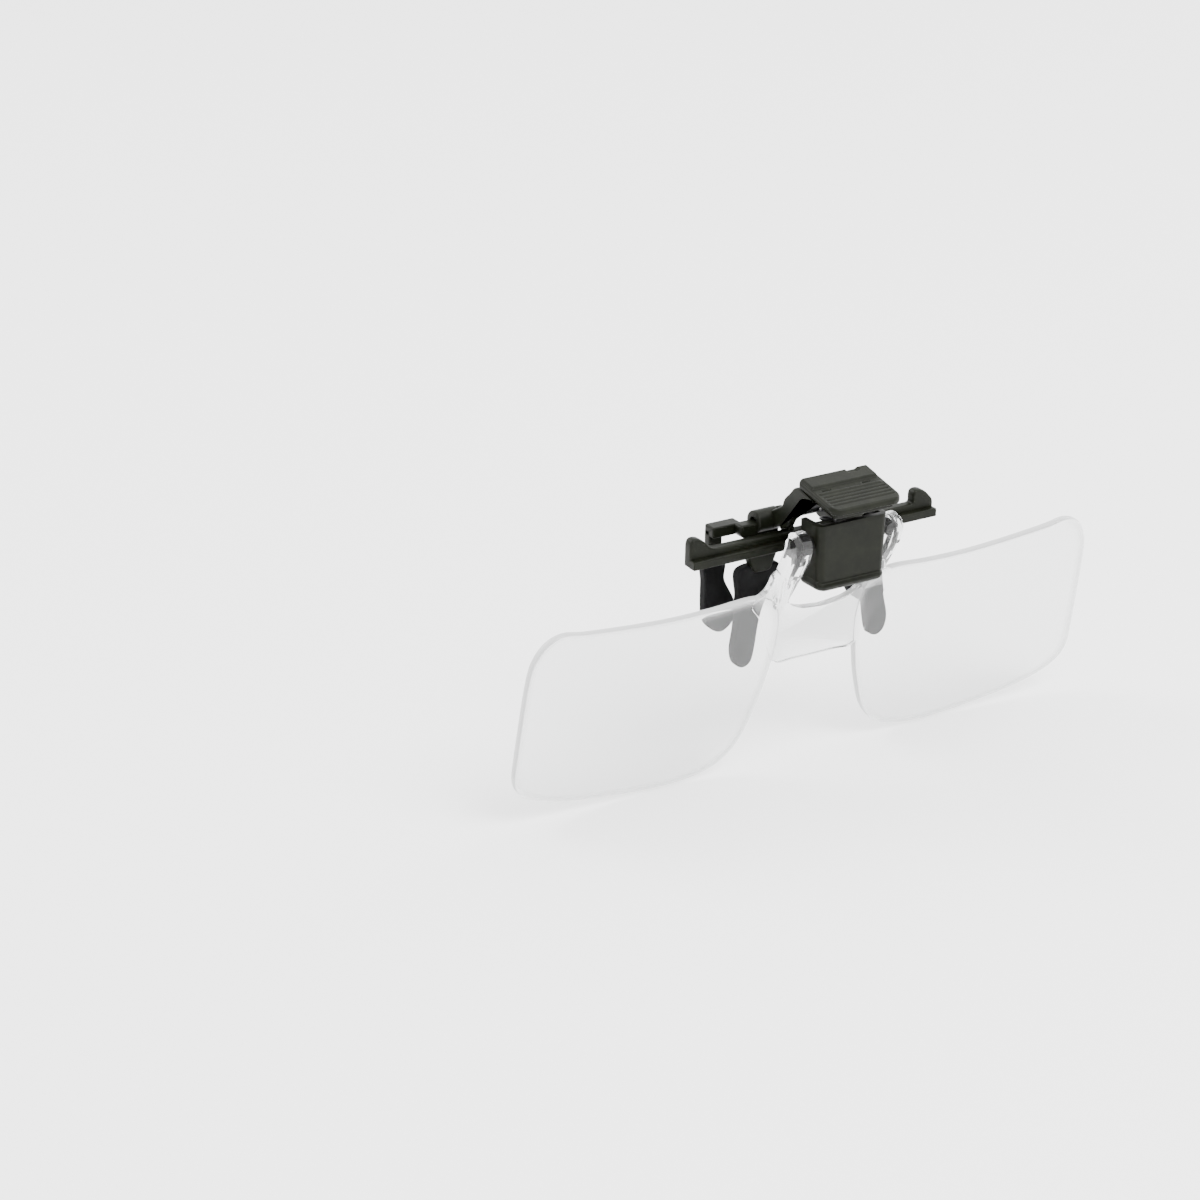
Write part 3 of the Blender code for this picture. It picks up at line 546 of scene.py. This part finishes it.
def finish(piece, body, material, replaces=(), angle=32.0):
    """Shade a piece, give it its material, tie it to its body, and hide the CAD nodes it replaces."""
    piece.data.transform(Matrix.Scale(mm, 4))
    piece.data.shade_smooth()
    piece.data.set_sharp_from_angle(angle=math.radians(angle))
    piece.data.materials.clear()
    piece.data.materials.append(material)
    step = piece.modifiers.new("even_shading", "WEIGHTED_NORMAL")
    step.keep_sharp = True
    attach(piece, body)
    if replaces:
        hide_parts(*replaces)
    print(f"{piece.name}: {len(piece.data.polygons)} faces")
    return piece


def box(node):
    """A node's lowest and highest corners in mm."""
    return tuple(tuple(c / mm for c in corner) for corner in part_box(node))


# %% [markdown]
# ## The clip's front frame
# One moulding: a thin web with an upturned ear at each end, a rib along its lower front edge,
# two wedge feet whose tongues run down into the rubber, two hinge lugs behind, and the deck
# that slides into the housing.  Each is a plate in its own direction.

# %% front frame
(frame_low, frame_high) = box("clip_frame")
BAR_HALF = frame_high[0]
BAR_LOW, BAR_TOP = 10.9, 13.6
EAR_TOP = BAR_TOP + 2.45
WEB_FRONT, WEB_BACK = -3.9, -1.9
HINGE_Z = 15.1
FOOT_X, FOOT_LOW = 10.8, 7.5


def crossbar():
    """The web and its ears: each ear has a steep side, a round top and a slope to +X."""
    h = BAR_HALF
    outline = [(-h, BAR_LOW), (h, BAR_LOW), (h, BAR_TOP + 0.15), (h - 2.2, EAR_TOP),
               (h - 4.4, EAR_TOP), (h - 4.4, BAR_TOP), (-h + 4.4, BAR_TOP), (-h + 2.2, EAR_TOP),
               (-h, EAR_TOP)]
    radii = [0.4, 0.4, 0.7, 1.5, 1.5, 0.5, 1.6, 1.5, 1.5]
    web = plate("web", rounded(outline, radii, 7), WEB_FRONT, WEB_BACK, 0.42)
    rib = bar("rib", (-h + 0.02, WEB_FRONT - 1.2, BAR_LOW - 0.05), (h - 0.02, WEB_FRONT + 0.6, 12.4), 0.22)
    return [web, rib]


def foot(side):
    """A wedge under the bar, and its tongue down the middle of the rubber sleeve."""
    x, z = FOOT_X, FOOT_LOW
    wedge = [(x - 1.7, z), (x + 1.7, z), (x + 3.3, 11.5), (x - 3.3, 11.5)]
    tongue = [(x - 1.2, z + 1), (x + 1.5, -7.6), (x + 3.0, -9.0), (x + 4.3, -7.9), (x + 1.3, z + 1)]
    turn = mirror if side < 0 else np.array
    return [plate(f"wedge{side}", turn(rounded(wedge, 0.6)), -4.2, -2.25, 0.35),
            plate(f"tongue{side}", turn(rounded(tongue, 0.8)), -3.05, -2.15, 0.2)]


def lug(side):
    """A tab from the web back to a round eye about the hinge pin."""
    eye = ring((0.0, HINGE_Z), 1.9, -110, 130, 22)
    outline = np.vstack([[(-3.5, 12.6), (-2.1, 12.3)], eye, [(-3.5, 14.2)]])
    ends = sorted((side * 3.9, side * 5.1))
    return plate(f"lug{side}", outline, *ends, 0.22, "x")


def front_frame():
    shapes = crossbar() + foot(-1) + foot(1) + [lug(-1), lug(1)]
    shapes += [bar("deck", (-4.9, -14.05, 10.0), (4.9, -3.55, 11.6), 0.25, "y"),
               bar("back_wall", (-6.08, -10.9, 10.3), (6.08, -10.0, 16.7), 0.2, "z")]
    return united("clip_front_frame", shapes)


front = finish(front_frame(), "clip_body", CLIP, ("clip_frame",))

# %% [markdown]
# ## The housing
# A small scoop, open above and behind, with a soft front and a proud lip along its lower
# edge.  Its skin is one sheet with two parameters: one runs round the U of its walls, the
# other runs down them and in under the floor.  Solidify then gives the sheet its wall.

# %% housing
(house_low, house_high) = box("housing_cover")
HOUSE_HALF = house_high[0]
HOUSE_FRONT, HOUSE_BACK = house_low[1] + 0.5, house_high[1]
HOUSE_FLOOR, HOUSE_TOP = house_low[2], house_high[2] - 0.05
FLIP_Y, FLIP_Z = -12.6, 14.8
LIP_TOP = HOUSE_FLOOR + 1.7


def housing():
    """Point (u, v): u picks a point of the U, v a level down the wall and then under it.

    The U narrows by a draft of 4% from top to floor; near the floor it is drawn towards the
    middle of the open back by 1 - cos of the corner angle, and then all the way in.  The lip
    pushes the front part out by up to half a millimetre, over a groove of a tenth.
    """
    half, front_y, back_y, round_front = HOUSE_HALF, HOUSE_FRONT, HOUSE_BACK, 1.3
    right_side = np.column_stack([np.full(6, half), np.linspace(back_y, front_y + round_front, 6)])
    corner = ring((half - round_front, front_y + round_front), round_front, 0, -90, 9)[1:]
    run = np.linspace(half - round_front, 0, 14)[1:]
    middle = np.column_stack([run, np.full(len(run), front_y)])
    side = np.vstack([right_side, corner, middle])
    u = np.vstack([side, (side * (-1, 1))[::-1][1:]])
    bottom_round = 1.5
    wall = np.concatenate([np.linspace(HOUSE_TOP, LIP_TOP + 0.5, 12),
                           np.linspace(LIP_TOP + 0.42, LIP_TOP - 0.4, 9)])
    a = np.radians(np.linspace(0, 90, 9))
    levels = np.concatenate([wall, HOUSE_FLOOR + bottom_round * (1 - np.sin(a)), [HOUSE_FLOOR] * 5])
    pulled = np.concatenate([np.zeros(len(wall)), bottom_round * (1 - np.cos(a)), np.full(5, bottom_round)])
    further = np.concatenate([np.ones(len(wall) + len(a)), 1 - np.linspace(0.2, 0.98, 5)])
    draft = 1 - 0.05 * (HOUSE_TOP - levels) / (HOUSE_TOP - HOUSE_FLOOR)
    x = u[None, :, 0] * (draft - pulled / half)[:, None] * further[:, None]
    y = back_y + (u[None, :, 1] - back_y) * (1 - pulled / (back_y - front_y))[:, None] * further[:, None]
    z = np.broadcast_to(levels[:, None], x.shape)
    facing = np.clip((front_y + round_front - u[:, 1]) / round_front, 0, 1) ** 1.5
    rise = np.clip((LIP_TOP - levels) / 0.35, 0, 1)
    rise = rise * rise * (3 - 2 * rise) * np.clip((levels - HOUSE_FLOOR) / 0.6, 0, 1) ** 0.5
    groove = np.exp(-((levels - LIP_TOP - 0.12) / 0.16) ** 2)
    y = y - (0.5 * rise - 0.10 * groove)[:, None] * facing[None, :] * (further[:, None] > 0.99)
    points = np.stack([x, y, z], -1).reshape(-1, 3)
    made = mesh_object("clip_housing", points, skin(len(levels), len(u), wrap=False))
    wall_step = made.modifiers.new("wall", "SOLIDIFY")
    wall_step.thickness = 1.0 * mm
    wall_step.offset = -1.0
    rim_step = made.modifiers.new("rim", "BEVEL")
    rim_step.width = 0.22 * mm
    rim_step.segments = 3
    rim_step.limit_method = "ANGLE"
    rim_step.angle_limit = math.radians(50)
    return made


shell = finish(housing(), "clip_body", CLIP, ("housing_cover",))

# %% [markdown]
# ## The press lever
# One moulding again: the plate under the thumb cap, two cranked arms that bend down to the
# hinge barrels, a wall that closes them behind, half bars and fingers for the rear jaw, and
# the block the spring pushes on.

# %% press lever
PLATE_REAR, PLATE_FRONT = -8.4, -17.8
TILT = math.radians(11.5)
CAP_TOP = 25.0
ARM_INNER, ARM_OUTER = 5.4, 7.2
BARREL_IN, BARREL_OUT = 5.6, 10.2


def plate_top(y):
    """Level of the plate's upper face, a plane that falls to the front."""
    return CAP_TOP - 1.2 / math.cos(TILT) - 0.15 + (y - PLATE_REAR) * math.tan(TILT)


def arm(side):
    """A cranked side arm from under the plate to the barrel, as one plate along X."""
    barrel = ring((0.0, HINGE_Z), 2.0, 115, -130, 30)
    crank = rounded([
        (-3.4, 14.5), (-5.4, 15.2), (-6.1, 16.6), (-9.5, 21.7), (-11.2, 22.1),
        (-13.0, plate_top(-13.0) - 0.3), (-8.6, plate_top(-8.4) - 0.05), (-7.1, plate_top(-8.4) - 0.5),
        (-6.2, plate_top(-8.4) - 1.7), (-4.2, 20.1)], [0.6, 0.8, 1.2, 1.2, 0.6, 0.3, 0.6, 1.1, 1.2, 1.2], 6)
    outline = np.vstack([barrel, crank])
    ends = sorted((side * ARM_INNER, side * ARM_OUTER))
    return plate(f"arm{side}", outline, *ends, 0.32, "x")


def barrel(side):
    """A hinge barrel, turned: rounded rims outside and the pin's bore right through."""
    rim = 0.3
    x0, x1, r, bore = BARREL_IN, BARREL_OUT, 2.02, 0.85
    a = np.linspace(0, math.pi / 2, 5)
    profile = np.vstack([
        [(x0, bore), (x0, r)],
        np.column_stack([x1 - rim + rim * np.sin(a), r - rim + rim * np.cos(a)]),
        [(x1, bore + 0.15), (x1 - 0.15, bore)],
    ]) * (side, 1)
    return turned(f"barrel{side}", profile, (0.0, HINGE_Z))


def rear_limb(side):
    """The half bar beside a barrel, the link out to the finger, the finger and its tongue."""
    def span(a, b):
        return sorted((side * a, side * b))
    (b0, b1), (l0, l1), (f0, f1) = span(5.5, 13.6), span(12.0, 17.95), span(15.25, 17.95)
    ends = rounded([(5.5, 12.8), (12.7, 12.8), (13.6, 13.7), (13.6, 15.3), (5.5, 15.3)],
                   [0.3, 0.5, 0.5, 0.6, 0.3])
    half_bar = plate(f"half_bar{side}", ends if side > 0 else mirror(ends), -1.2, 1.2, 0.38)
    link = bar(f"link{side}", (l0, 0.72, 13.2), (l1, 3.45, 15.2), 0.35)
    finger_line = rounded([(15.25, 8.5), (17.95, 8.5), (17.95, 14.6), (15.25, 14.6)], 0.5)
    finger = plate(f"finger{side}", finger_line if side > 0 else mirror(finger_line), 1.76, 3.45, 0.32)
    tongue_line = rounded([(15.3, 9.4), (14.2, -2.4), (15.4, -3.3), (16.7, -2.4), (17.9, 9.4)], 0.8)
    tongue = plate(f"tongue{side}", tongue_line if side > 0 else mirror(tongue_line), 2.15, 3.05, 0.2)
    return [half_bar, link, finger, tongue]


def press_lever():
    top = plate_top
    side_view = rounded([(PLATE_FRONT, top(PLATE_FRONT) - 1.22), (PLATE_REAR, top(PLATE_REAR) - 1.22),
                         (PLATE_REAR, top(PLATE_REAR)), (PLATE_FRONT, top(PLATE_FRONT))],
                        [0.5, 0.1, 0.1, 0.5])
    rear = rounded([(-9.0, top(-8.4) - 0.2), (-9.0, top(-8.4) - 1.2), (-7.4, top(-8.4) - 2.4),
                    (-5.6, 19.6), (-4.3, 20.0), (-6.4, top(-8.4) - 1.6), (-7.3, top(-8.4) - 0.6)],
                   [0.2, 0.3, 0.8, 0.3, 0.3, 0.8, 0.6])
    seat = [(-9.8, 19.9), (-6.0, 19.9), (-6.0, 20.9), (-7.3, 22.1), (-9.8, top(-9.8) - 0.6)]
    shapes = [plate("press_plate", side_view, -6.2, 6.2, 0.4, "x"),
              plate("rear_wall", rear, -5.8, 5.8, 0.1, "x"),
              plate("spring_seat", rounded(seat, 0.2), -1.9, 1.9, 0.2, "x")]
    bores = []
    for side in (-1, 1):
        shapes += [arm(side), barrel(side)] + rear_limb(side)
        ends = sorted((side * (ARM_INNER - 0.6), side * (BARREL_OUT - 0.5)))
        bores.append(turned(f"bore{side}", [(ends[0], 0.001), (ends[0], 0.85), (ends[1], 0.85),
                                            (ends[1], 0.001)], (0.0, HINGE_Z)))
    return united("clip_press_lever", shapes, bores)


lever = finish(press_lever(), "lever", CLIP, ("press_lever",))

# %% [markdown]
# ## The thumb cap
# The cap is a thin tile with rounded front corners.  Its upper face is a height field: a grid
# of (u, v) squeezed into the tile's plan, with a raised step behind, grooves for the thumb
# across the front, and two short slits.  The rim rolls over in a quarter circle.

# %% thumb cap
CAP_HALF, CAP_FRONT = 7.3, -19.12
CAP_THICK = 1.2


def bump(value, low, high, soft):
    """1 between low and high, 0 outside, with smooth flanks of the given softness."""
    rise = np.clip((value - low) / soft + 0.5, 0, 1)
    fall = np.clip((high - value) / soft + 0.5, 0, 1)
    return rise * rise * (3 - 2 * rise) * fall * fall * (3 - 2 * fall)


def thumb_cap():
    """Point (u, v) with u across and v from front to rear, both from -1 to 1 or 0 to 1.

    The half width shrinks near the front by R - sqrt(R^2 - d^2), a round corner.  The height
    is the tilted plane, plus step, less grooves, less the rim's r - sqrt(r^2 - (r - e)^2),
    where e is the distance to the nearest edge.
    """
    fine = np.linspace(0, 1, 7)
    rim, corner = 0.42, 1.9
    edge_u = 1 - (1 - fine) ** 2
    u = np.concatenate([-1 + 0.06 * edge_u, np.linspace(-0.94, 0.94, 75)[1:-1], 1 - 0.06 * edge_u[::-1]])
    length = PLATE_REAR - CAP_FRONT
    v = np.concatenate([0.05 * edge_u, np.linspace(0.05, 0.95, 110)[1:-1], 1 - 0.05 * edge_u[::-1]])
    across, along = np.meshgrid(u, v * length, indexing="xy")
    missing = np.clip(corner - along, 0, corner)
    half = CAP_HALF - (corner - np.sqrt(corner**2 - missing**2))
    rear_missing = np.clip(0.8 - (length - along), 0, 0.8)
    half = half - (0.8 - np.sqrt(0.8**2 - rear_missing**2))
    x, y = across * half, CAP_FRONT + along
    edge = np.minimum.reduce([half - np.abs(x), along, length - along])
    roll = rim - np.sqrt(np.maximum(rim**2 - np.clip(rim - edge, 0, rim) ** 2, 0))
    inner = bump(x, -CAP_HALF + 0.9, CAP_HALF - 0.9, 0.3)
    step = 0.45 * bump(along, length - 3.6, length + 2, 0.35) * bump(x, -CAP_HALF + 0.5, CAP_HALF - 0.5, 0.3)
    notch = 0.40 * bump(along, length - 1.5, length + 2, 0.25) * bump(x, 2.4, 4.6, 0.3)
    grooves = sum(0.16 * bump(along, s, s + 0.28, 0.16) for s in (1.5, 2.4, 3.3, 4.2)) * inner
    ridge = 0.12 * bump(along, 5.2, 5.7, 0.25) * inner
    slits = 0.35 * bump(along, length - 4.6, length - 4.2, 0.12) * (
        bump(x, -5.4, -3.6, 0.2) + bump(x, 3.0, 4.6, 0.2))
    base = plate_top(PLATE_REAR) + 0.15 + (y - PLATE_REAR) * math.tan(TILT)
    shape = step - notch - grooves + ridge - slits
    upper = base + CAP_THICK + shape * np.clip(edge / 0.5, 0, 1) - roll
    lower = base + 0.5 * roll
    grids = [np.stack([x, y, z], -1) for z in (lower, upper)]
    rows, columns = x.shape
    faces_up = skin(rows, columns, wrap=False)
    low_count = rows * columns
    border = np.concatenate([
        np.arange(columns), np.arange(1, rows) * columns + columns - 1,
        (rows - 1) * columns + np.arange(columns - 2, -1, -1), np.arange(rows - 2, 0, -1) * columns])
    after = np.roll(border, -1)
    walls = np.stack([border, after, after + low_count, border + low_count], -1)
    faces = np.vstack([faces_up[:, ::-1], faces_up + low_count, walls])
    return mesh_object("clip_thumb_cap", np.concatenate([g.reshape(-1, 3) for g in grids]), faces)


cap = finish(thumb_cap(), "lever", CAP, ("press_cap",), angle=50)

# %% [markdown]
# ## Rubber sleeves
# Four soft sleeves cover the tongues.  Each is a plate with generous rims.  The front pair is
# leg shaped and the rear pair is drop shaped.


# %% sleeves
def sleeve_outline(kind):
    if kind == "front":
        top, tip = 8.3, -9.5
        drop, x = top - tip, 14.2
        points = [(14.9, top), (15.0, top - 0.30 * drop), (15.7, top - 0.58 * drop),
                  (x + 2.3, top - 0.80 * drop),
                  (x + 1.7, tip + 1.0), (x + 0.1, tip), (x - 1.5, tip + 0.9), (x - 2.2, top - 0.80 * drop),
                  (x - 2.8, top - 0.58 * drop), (10.2, top - 0.36 * drop), (8.0, top - 0.14 * drop),
                  (7.2, top)]
    else:
        top, tip, half, x = 8.0, -5.0, 3.15, 15.4
        drop = top - tip
        points = [(18.6, top), (18.6, top - 0.25 * drop), (x + half, top - 0.60 * drop),
                  (x + 0.86 * half, tip + 0.13 * drop), (x, tip), (x - 0.86 * half, tip + 0.13 * drop),
                  (x - half, top - 0.60 * drop), (14.5, top - 0.25 * drop), (14.6, top)]
    return through(points, 8)


def sleeve(name, node, kind, side):
    """The outline as a plate whose depth comes from the node's box, with rims of 0.5 mm."""
    (_, y0, _), (_, y1, _) = box(node)
    outline = sleeve_outline(kind)
    outline = outline if side > 0 else mirror(outline)
    return plate(name, outline, y0, y1, 0.5, "y", rows=6)


for side_name, side in (("left", -1), ("right", 1)):
    node = f"front_{side_name}_sleeve"
    finish(sleeve(f"rubber_front_{side_name}", node, "front", side),
           "clip_body", RUBBER, (node,))
    node = f"rear_{side_name}_sleeve"
    finish(sleeve(f"rubber_rear_{side_name}", node, "rear", side),
           "lever", RUBBER, (node,))

# %% [markdown]
# ## The press spring
# A compression spring is a wire carried along a helix whose end turns lie flat.  The wire's
# ring at each step stands square to the path, in the frame of its tangent.


# %% press spring
def coil(name, centre, radius, wire, turns, low, high, sides=12, per_turn=40):
    """Point (s, a): centre line (R cos t, R sin t, level(t)), and a ring of the wire's radius
    across it made of the outward direction and the tangent crossed with it."""
    t = np.linspace(0, 2 * math.pi * turns, turns * per_turn + 1)
    share = np.clip((t / (2 * math.pi) - 1) / (turns - 2), 0, 1)
    flat = 2.1 * wire * (np.clip(t / (2 * math.pi), 0, 1) + np.clip(t / (2 * math.pi) - turns + 1, 0, 1))
    level = low + flat + share * (high - low - 4.2 * wire)
    line = np.stack([centre[0] + radius * np.cos(t), centre[1] + radius * np.sin(t), level], -1)
    tangent = np.gradient(line, axis=0)
    tangent /= np.linalg.norm(tangent, axis=1, keepdims=True)
    outwards = np.stack([np.cos(t), np.sin(t), 0 * t], -1)
    across = np.cross(tangent, outwards)
    a = np.linspace(0, 2 * math.pi, sides, endpoint=False)
    points = line[:, None] + wire * (np.cos(a)[None, :, None] * outwards[:, None]
                                     + np.sin(a)[None, :, None] * across[:, None])
    rows = len(line)
    faces = skin(rows, sides).tolist()
    faces += [list(range(sides))[::-1], list(range((rows - 1) * sides, rows * sides))]
    return mesh_object(name, points.reshape(-1, 3), faces)


(spring_low, spring_high) = box("press_spring")
spring_y = (spring_low[1] + spring_high[1]) / 2
SPRING_RADIUS, SPRING_WIRE, SPRING_TURNS = 1.45, 0.22, 6
spring = coil("lever_spring", (0.0, spring_y), SPRING_RADIUS, SPRING_WIRE, SPRING_TURNS,
              spring_low[2] + SPRING_WIRE, spring_high[2] - SPRING_WIRE)
outward(spring.data)
finish(spring, "clip_body", STEEL, ("press_spring",), angle=60)
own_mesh(spring)

# %% [markdown]
# ## The clear lens unit
# Two lenses, a bridge and two posts in one acrylic moulding.  A lens is a stack of rings: its
# outline is shrunk towards its middle ring by ring, and each ring moves forward by the bulge
# of a weak magnifier.  The rim is rolled, wide in front and tight behind, and each point keeps
# how near it is to the outline, which the acrylic reads to paint a highlight along the rims.

# %% lens unit
LENS_TILT = math.radians(10.0)
LENS_FRONT, LENS_BACK = 2.4, 4.4
EDGE_TOP, EDGE_DROP, SPAN, NOSE = -11.45, 34.6, 59.76, 8.7
POST_IN, POST_OUT = 7.65, 11.25
BRIDGE_HIGH, BRIDGE_LOW = -15.4, -25.5
LENS_SHARES = (
    (0.13, -0.012), (0.27, 0.0), (0.44, 0.003), (0.61, -0.012), (0.78, -0.036),
    (0.87, -0.056), (0.935, -0.018), (0.976, 0.072), (0.99, 0.19), (0.996, 0.39),
    (1.0, 0.62), (0.998, 0.74), (0.972, 0.82), (0.906, 0.886), (0.79, 0.938),
    (0.65, 0.970), (0.49, 0.994), (0.34, 1.0), (0.22, 0.976), (0.143, 0.918),
    (0.083, 0.810), (0.037, 0.625), (0.012, 0.475), (-0.004, 0.33), (-0.006, 0.19),
    (0.012, 0.075), (0.055, 0.012),
)


def lens_outline():
    """One lens on the +X side in its own plane, from shares of its width and drop, in mm."""
    share = np.array(LENS_SHARES)
    across = NOSE + share[:, 0] * (SPAN - NOSE)
    return through(np.column_stack([across, EDGE_TOP - share[:, 1] * EDGE_DROP]), 7)


def lens(side):
    """Point (i, j): outline point i, drawn in by ring j.

    Rings 1 to 0.04 of the way out make each face; its level is the sag c (1 - s^2) of a weak
    lens, where s is the ring's share.  Between the faces the rim follows a flattened quarter
    circle of 1.1 mm in front and a true one of 0.3 mm behind.
    """
    loop = lens_outline()
    loop = loop[::-1] if area(loop) < 0 else loop
    middle = 0.5 * (loop.min(0) + loop.max(0))
    shares = np.concatenate([[0.0], np.linspace(0.12, 0.999, 16)])
    bulge = 0.55
    front_rim, back_rim = 1.1, 0.3
    inner_front, inner_back = inset(loop, front_rim), inset(loop, back_rim)
    front = [np.column_stack([middle + s * (inner_front - middle),
                              np.full(len(loop), LENS_FRONT + bulge * s * s)]) for s in shares]
    a = np.linspace(0, math.pi / 2, 7)[1:]
    rim_level = LENS_FRONT + bulge
    front_roll = [np.column_stack([inset(loop, front_rim * (1 - math.sin(b))),
                                   np.full(len(loop), rim_level + 0.62 * front_rim * (1 - math.cos(b)))])
                  for b in a]
    back_roll = [np.column_stack([inset(loop, back_rim * (1 - math.sin(b))),
                                  np.full(len(loop), LENS_BACK - back_rim * (1 - math.cos(b)))])
                 for b in a[::-1]]
    rear = [np.column_stack([middle + s * (inner_back - middle), np.full(len(loop), LENS_BACK)])
            for s in shares[::-1]]
    grid = np.stack(front + front_roll + back_roll + rear)
    points = grid.reshape(-1, 3)[:, (0, 2, 1)] * (side, 1, 1)
    made = mesh_object(f"lens{side}", points, skin(len(grid), len(loop)))
    outward(made.data)
    return made


def bridge():
    """The thinner plate between the lenses, with the roots that run up into the posts."""
    right_edge = [(0, BRIDGE_LOW), (5.0, BRIDGE_LOW + 0.05), (7.6, BRIDGE_LOW - 0.2),
                  (9.6, -24.4), (11.5, -20.0),
                  (13.5, -15.0), (15.5, -12.6), (14.6, EDGE_TOP + 0.15), (12.9, EDGE_TOP + 0.9),
                  (11.8, EDGE_TOP + 2.2), (POST_OUT - 0.1, EDGE_TOP + 4.6), (POST_IN + 0.1, EDGE_TOP + 4.6),
                  (POST_IN + 0.05, -12.6), (6.9, -13.9), (4.6, -14.9)]
    points = right_edge + [(0, BRIDGE_HIGH)] + [(-x, z) for x, z in right_edge[:0:-1]]
    return plate("bridge", rounded(points, 1.1, 6), LENS_FRONT + 0.35, LENS_BACK - 0.25, 0.25)


def post(side):
    """A post from the bridge's end up to its eye on the axle, its rims cut as flat facets."""
    head = ring((0.0, 0.0), 2.58, 8, 202, 11)
    outline = np.vstack([[(LENS_BACK, EDGE_TOP + 3.0), (2.55, -1.2)], head,
                         [(-2.35, -1.9), (LENS_FRONT + 0.1, EDGE_TOP - 2.4),
                          (LENS_BACK - 0.1, EDGE_TOP - 2.4)]])
    ends = sorted((side * POST_IN, side * POST_OUT))
    return plate(f"post{side}", outline, *ends, 0.85, "x", rows=2)


def paint_rim_highlight(mesh, width=1.3):
    """A number on each point, 1 on a lens's outline and 0 a rim's width inside it.

    It is 1 - d / width, where d is the distance in the lens's plane to the nearest outline
    point.  The acrylic reads it to whiten the rims as a painted highlight.
    """
    place = np.empty(len(mesh.vertices) * 3, np.float32)
    mesh.vertices.foreach_get("co", place)
    place = place.reshape(-1, 3)
    flat = np.column_stack([np.abs(place[:, 0]), place[:, 2]])
    away = np.linalg.norm(flat[:, None] - lens_outline()[None], axis=2).min(axis=1)
    rim = mesh.attributes.new("rim", "FLOAT", "POINT")
    rim.data.foreach_set("value", np.clip(1 - away / width, 0, 1).astype(np.float32))


def lens_unit():
    """The five shapes joined, then tilted about the axle so the lenses lean to the wearer."""
    unit = united("clear_lens_unit", [lens(1), lens(-1), bridge(), post(1), post(-1)])
    paint_rim_highlight(unit.data)
    place = Matrix.Translation(Vector((0, FLIP_Y, FLIP_Z))) @ Matrix.Rotation(LENS_TILT, 4, "X")
    unit.data.transform(place)
    return unit


clear = finish(lens_unit(), "lens", ACRYLIC, ("lens_unit",), angle=24)

# %% [markdown]
# ## Small metal and axle parts
# The pin, the leaf spring and the axle already have their true shapes, so they only get
# their finishes.

# %% carried-over parts
for node, material in (("hinge_pin", STEEL), ("detent_leaf_spring", STEEL), ("flip_axle", AXLE)):
    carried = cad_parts[node]
    carried.data.materials.clear()
    carried.data.materials.append(material)
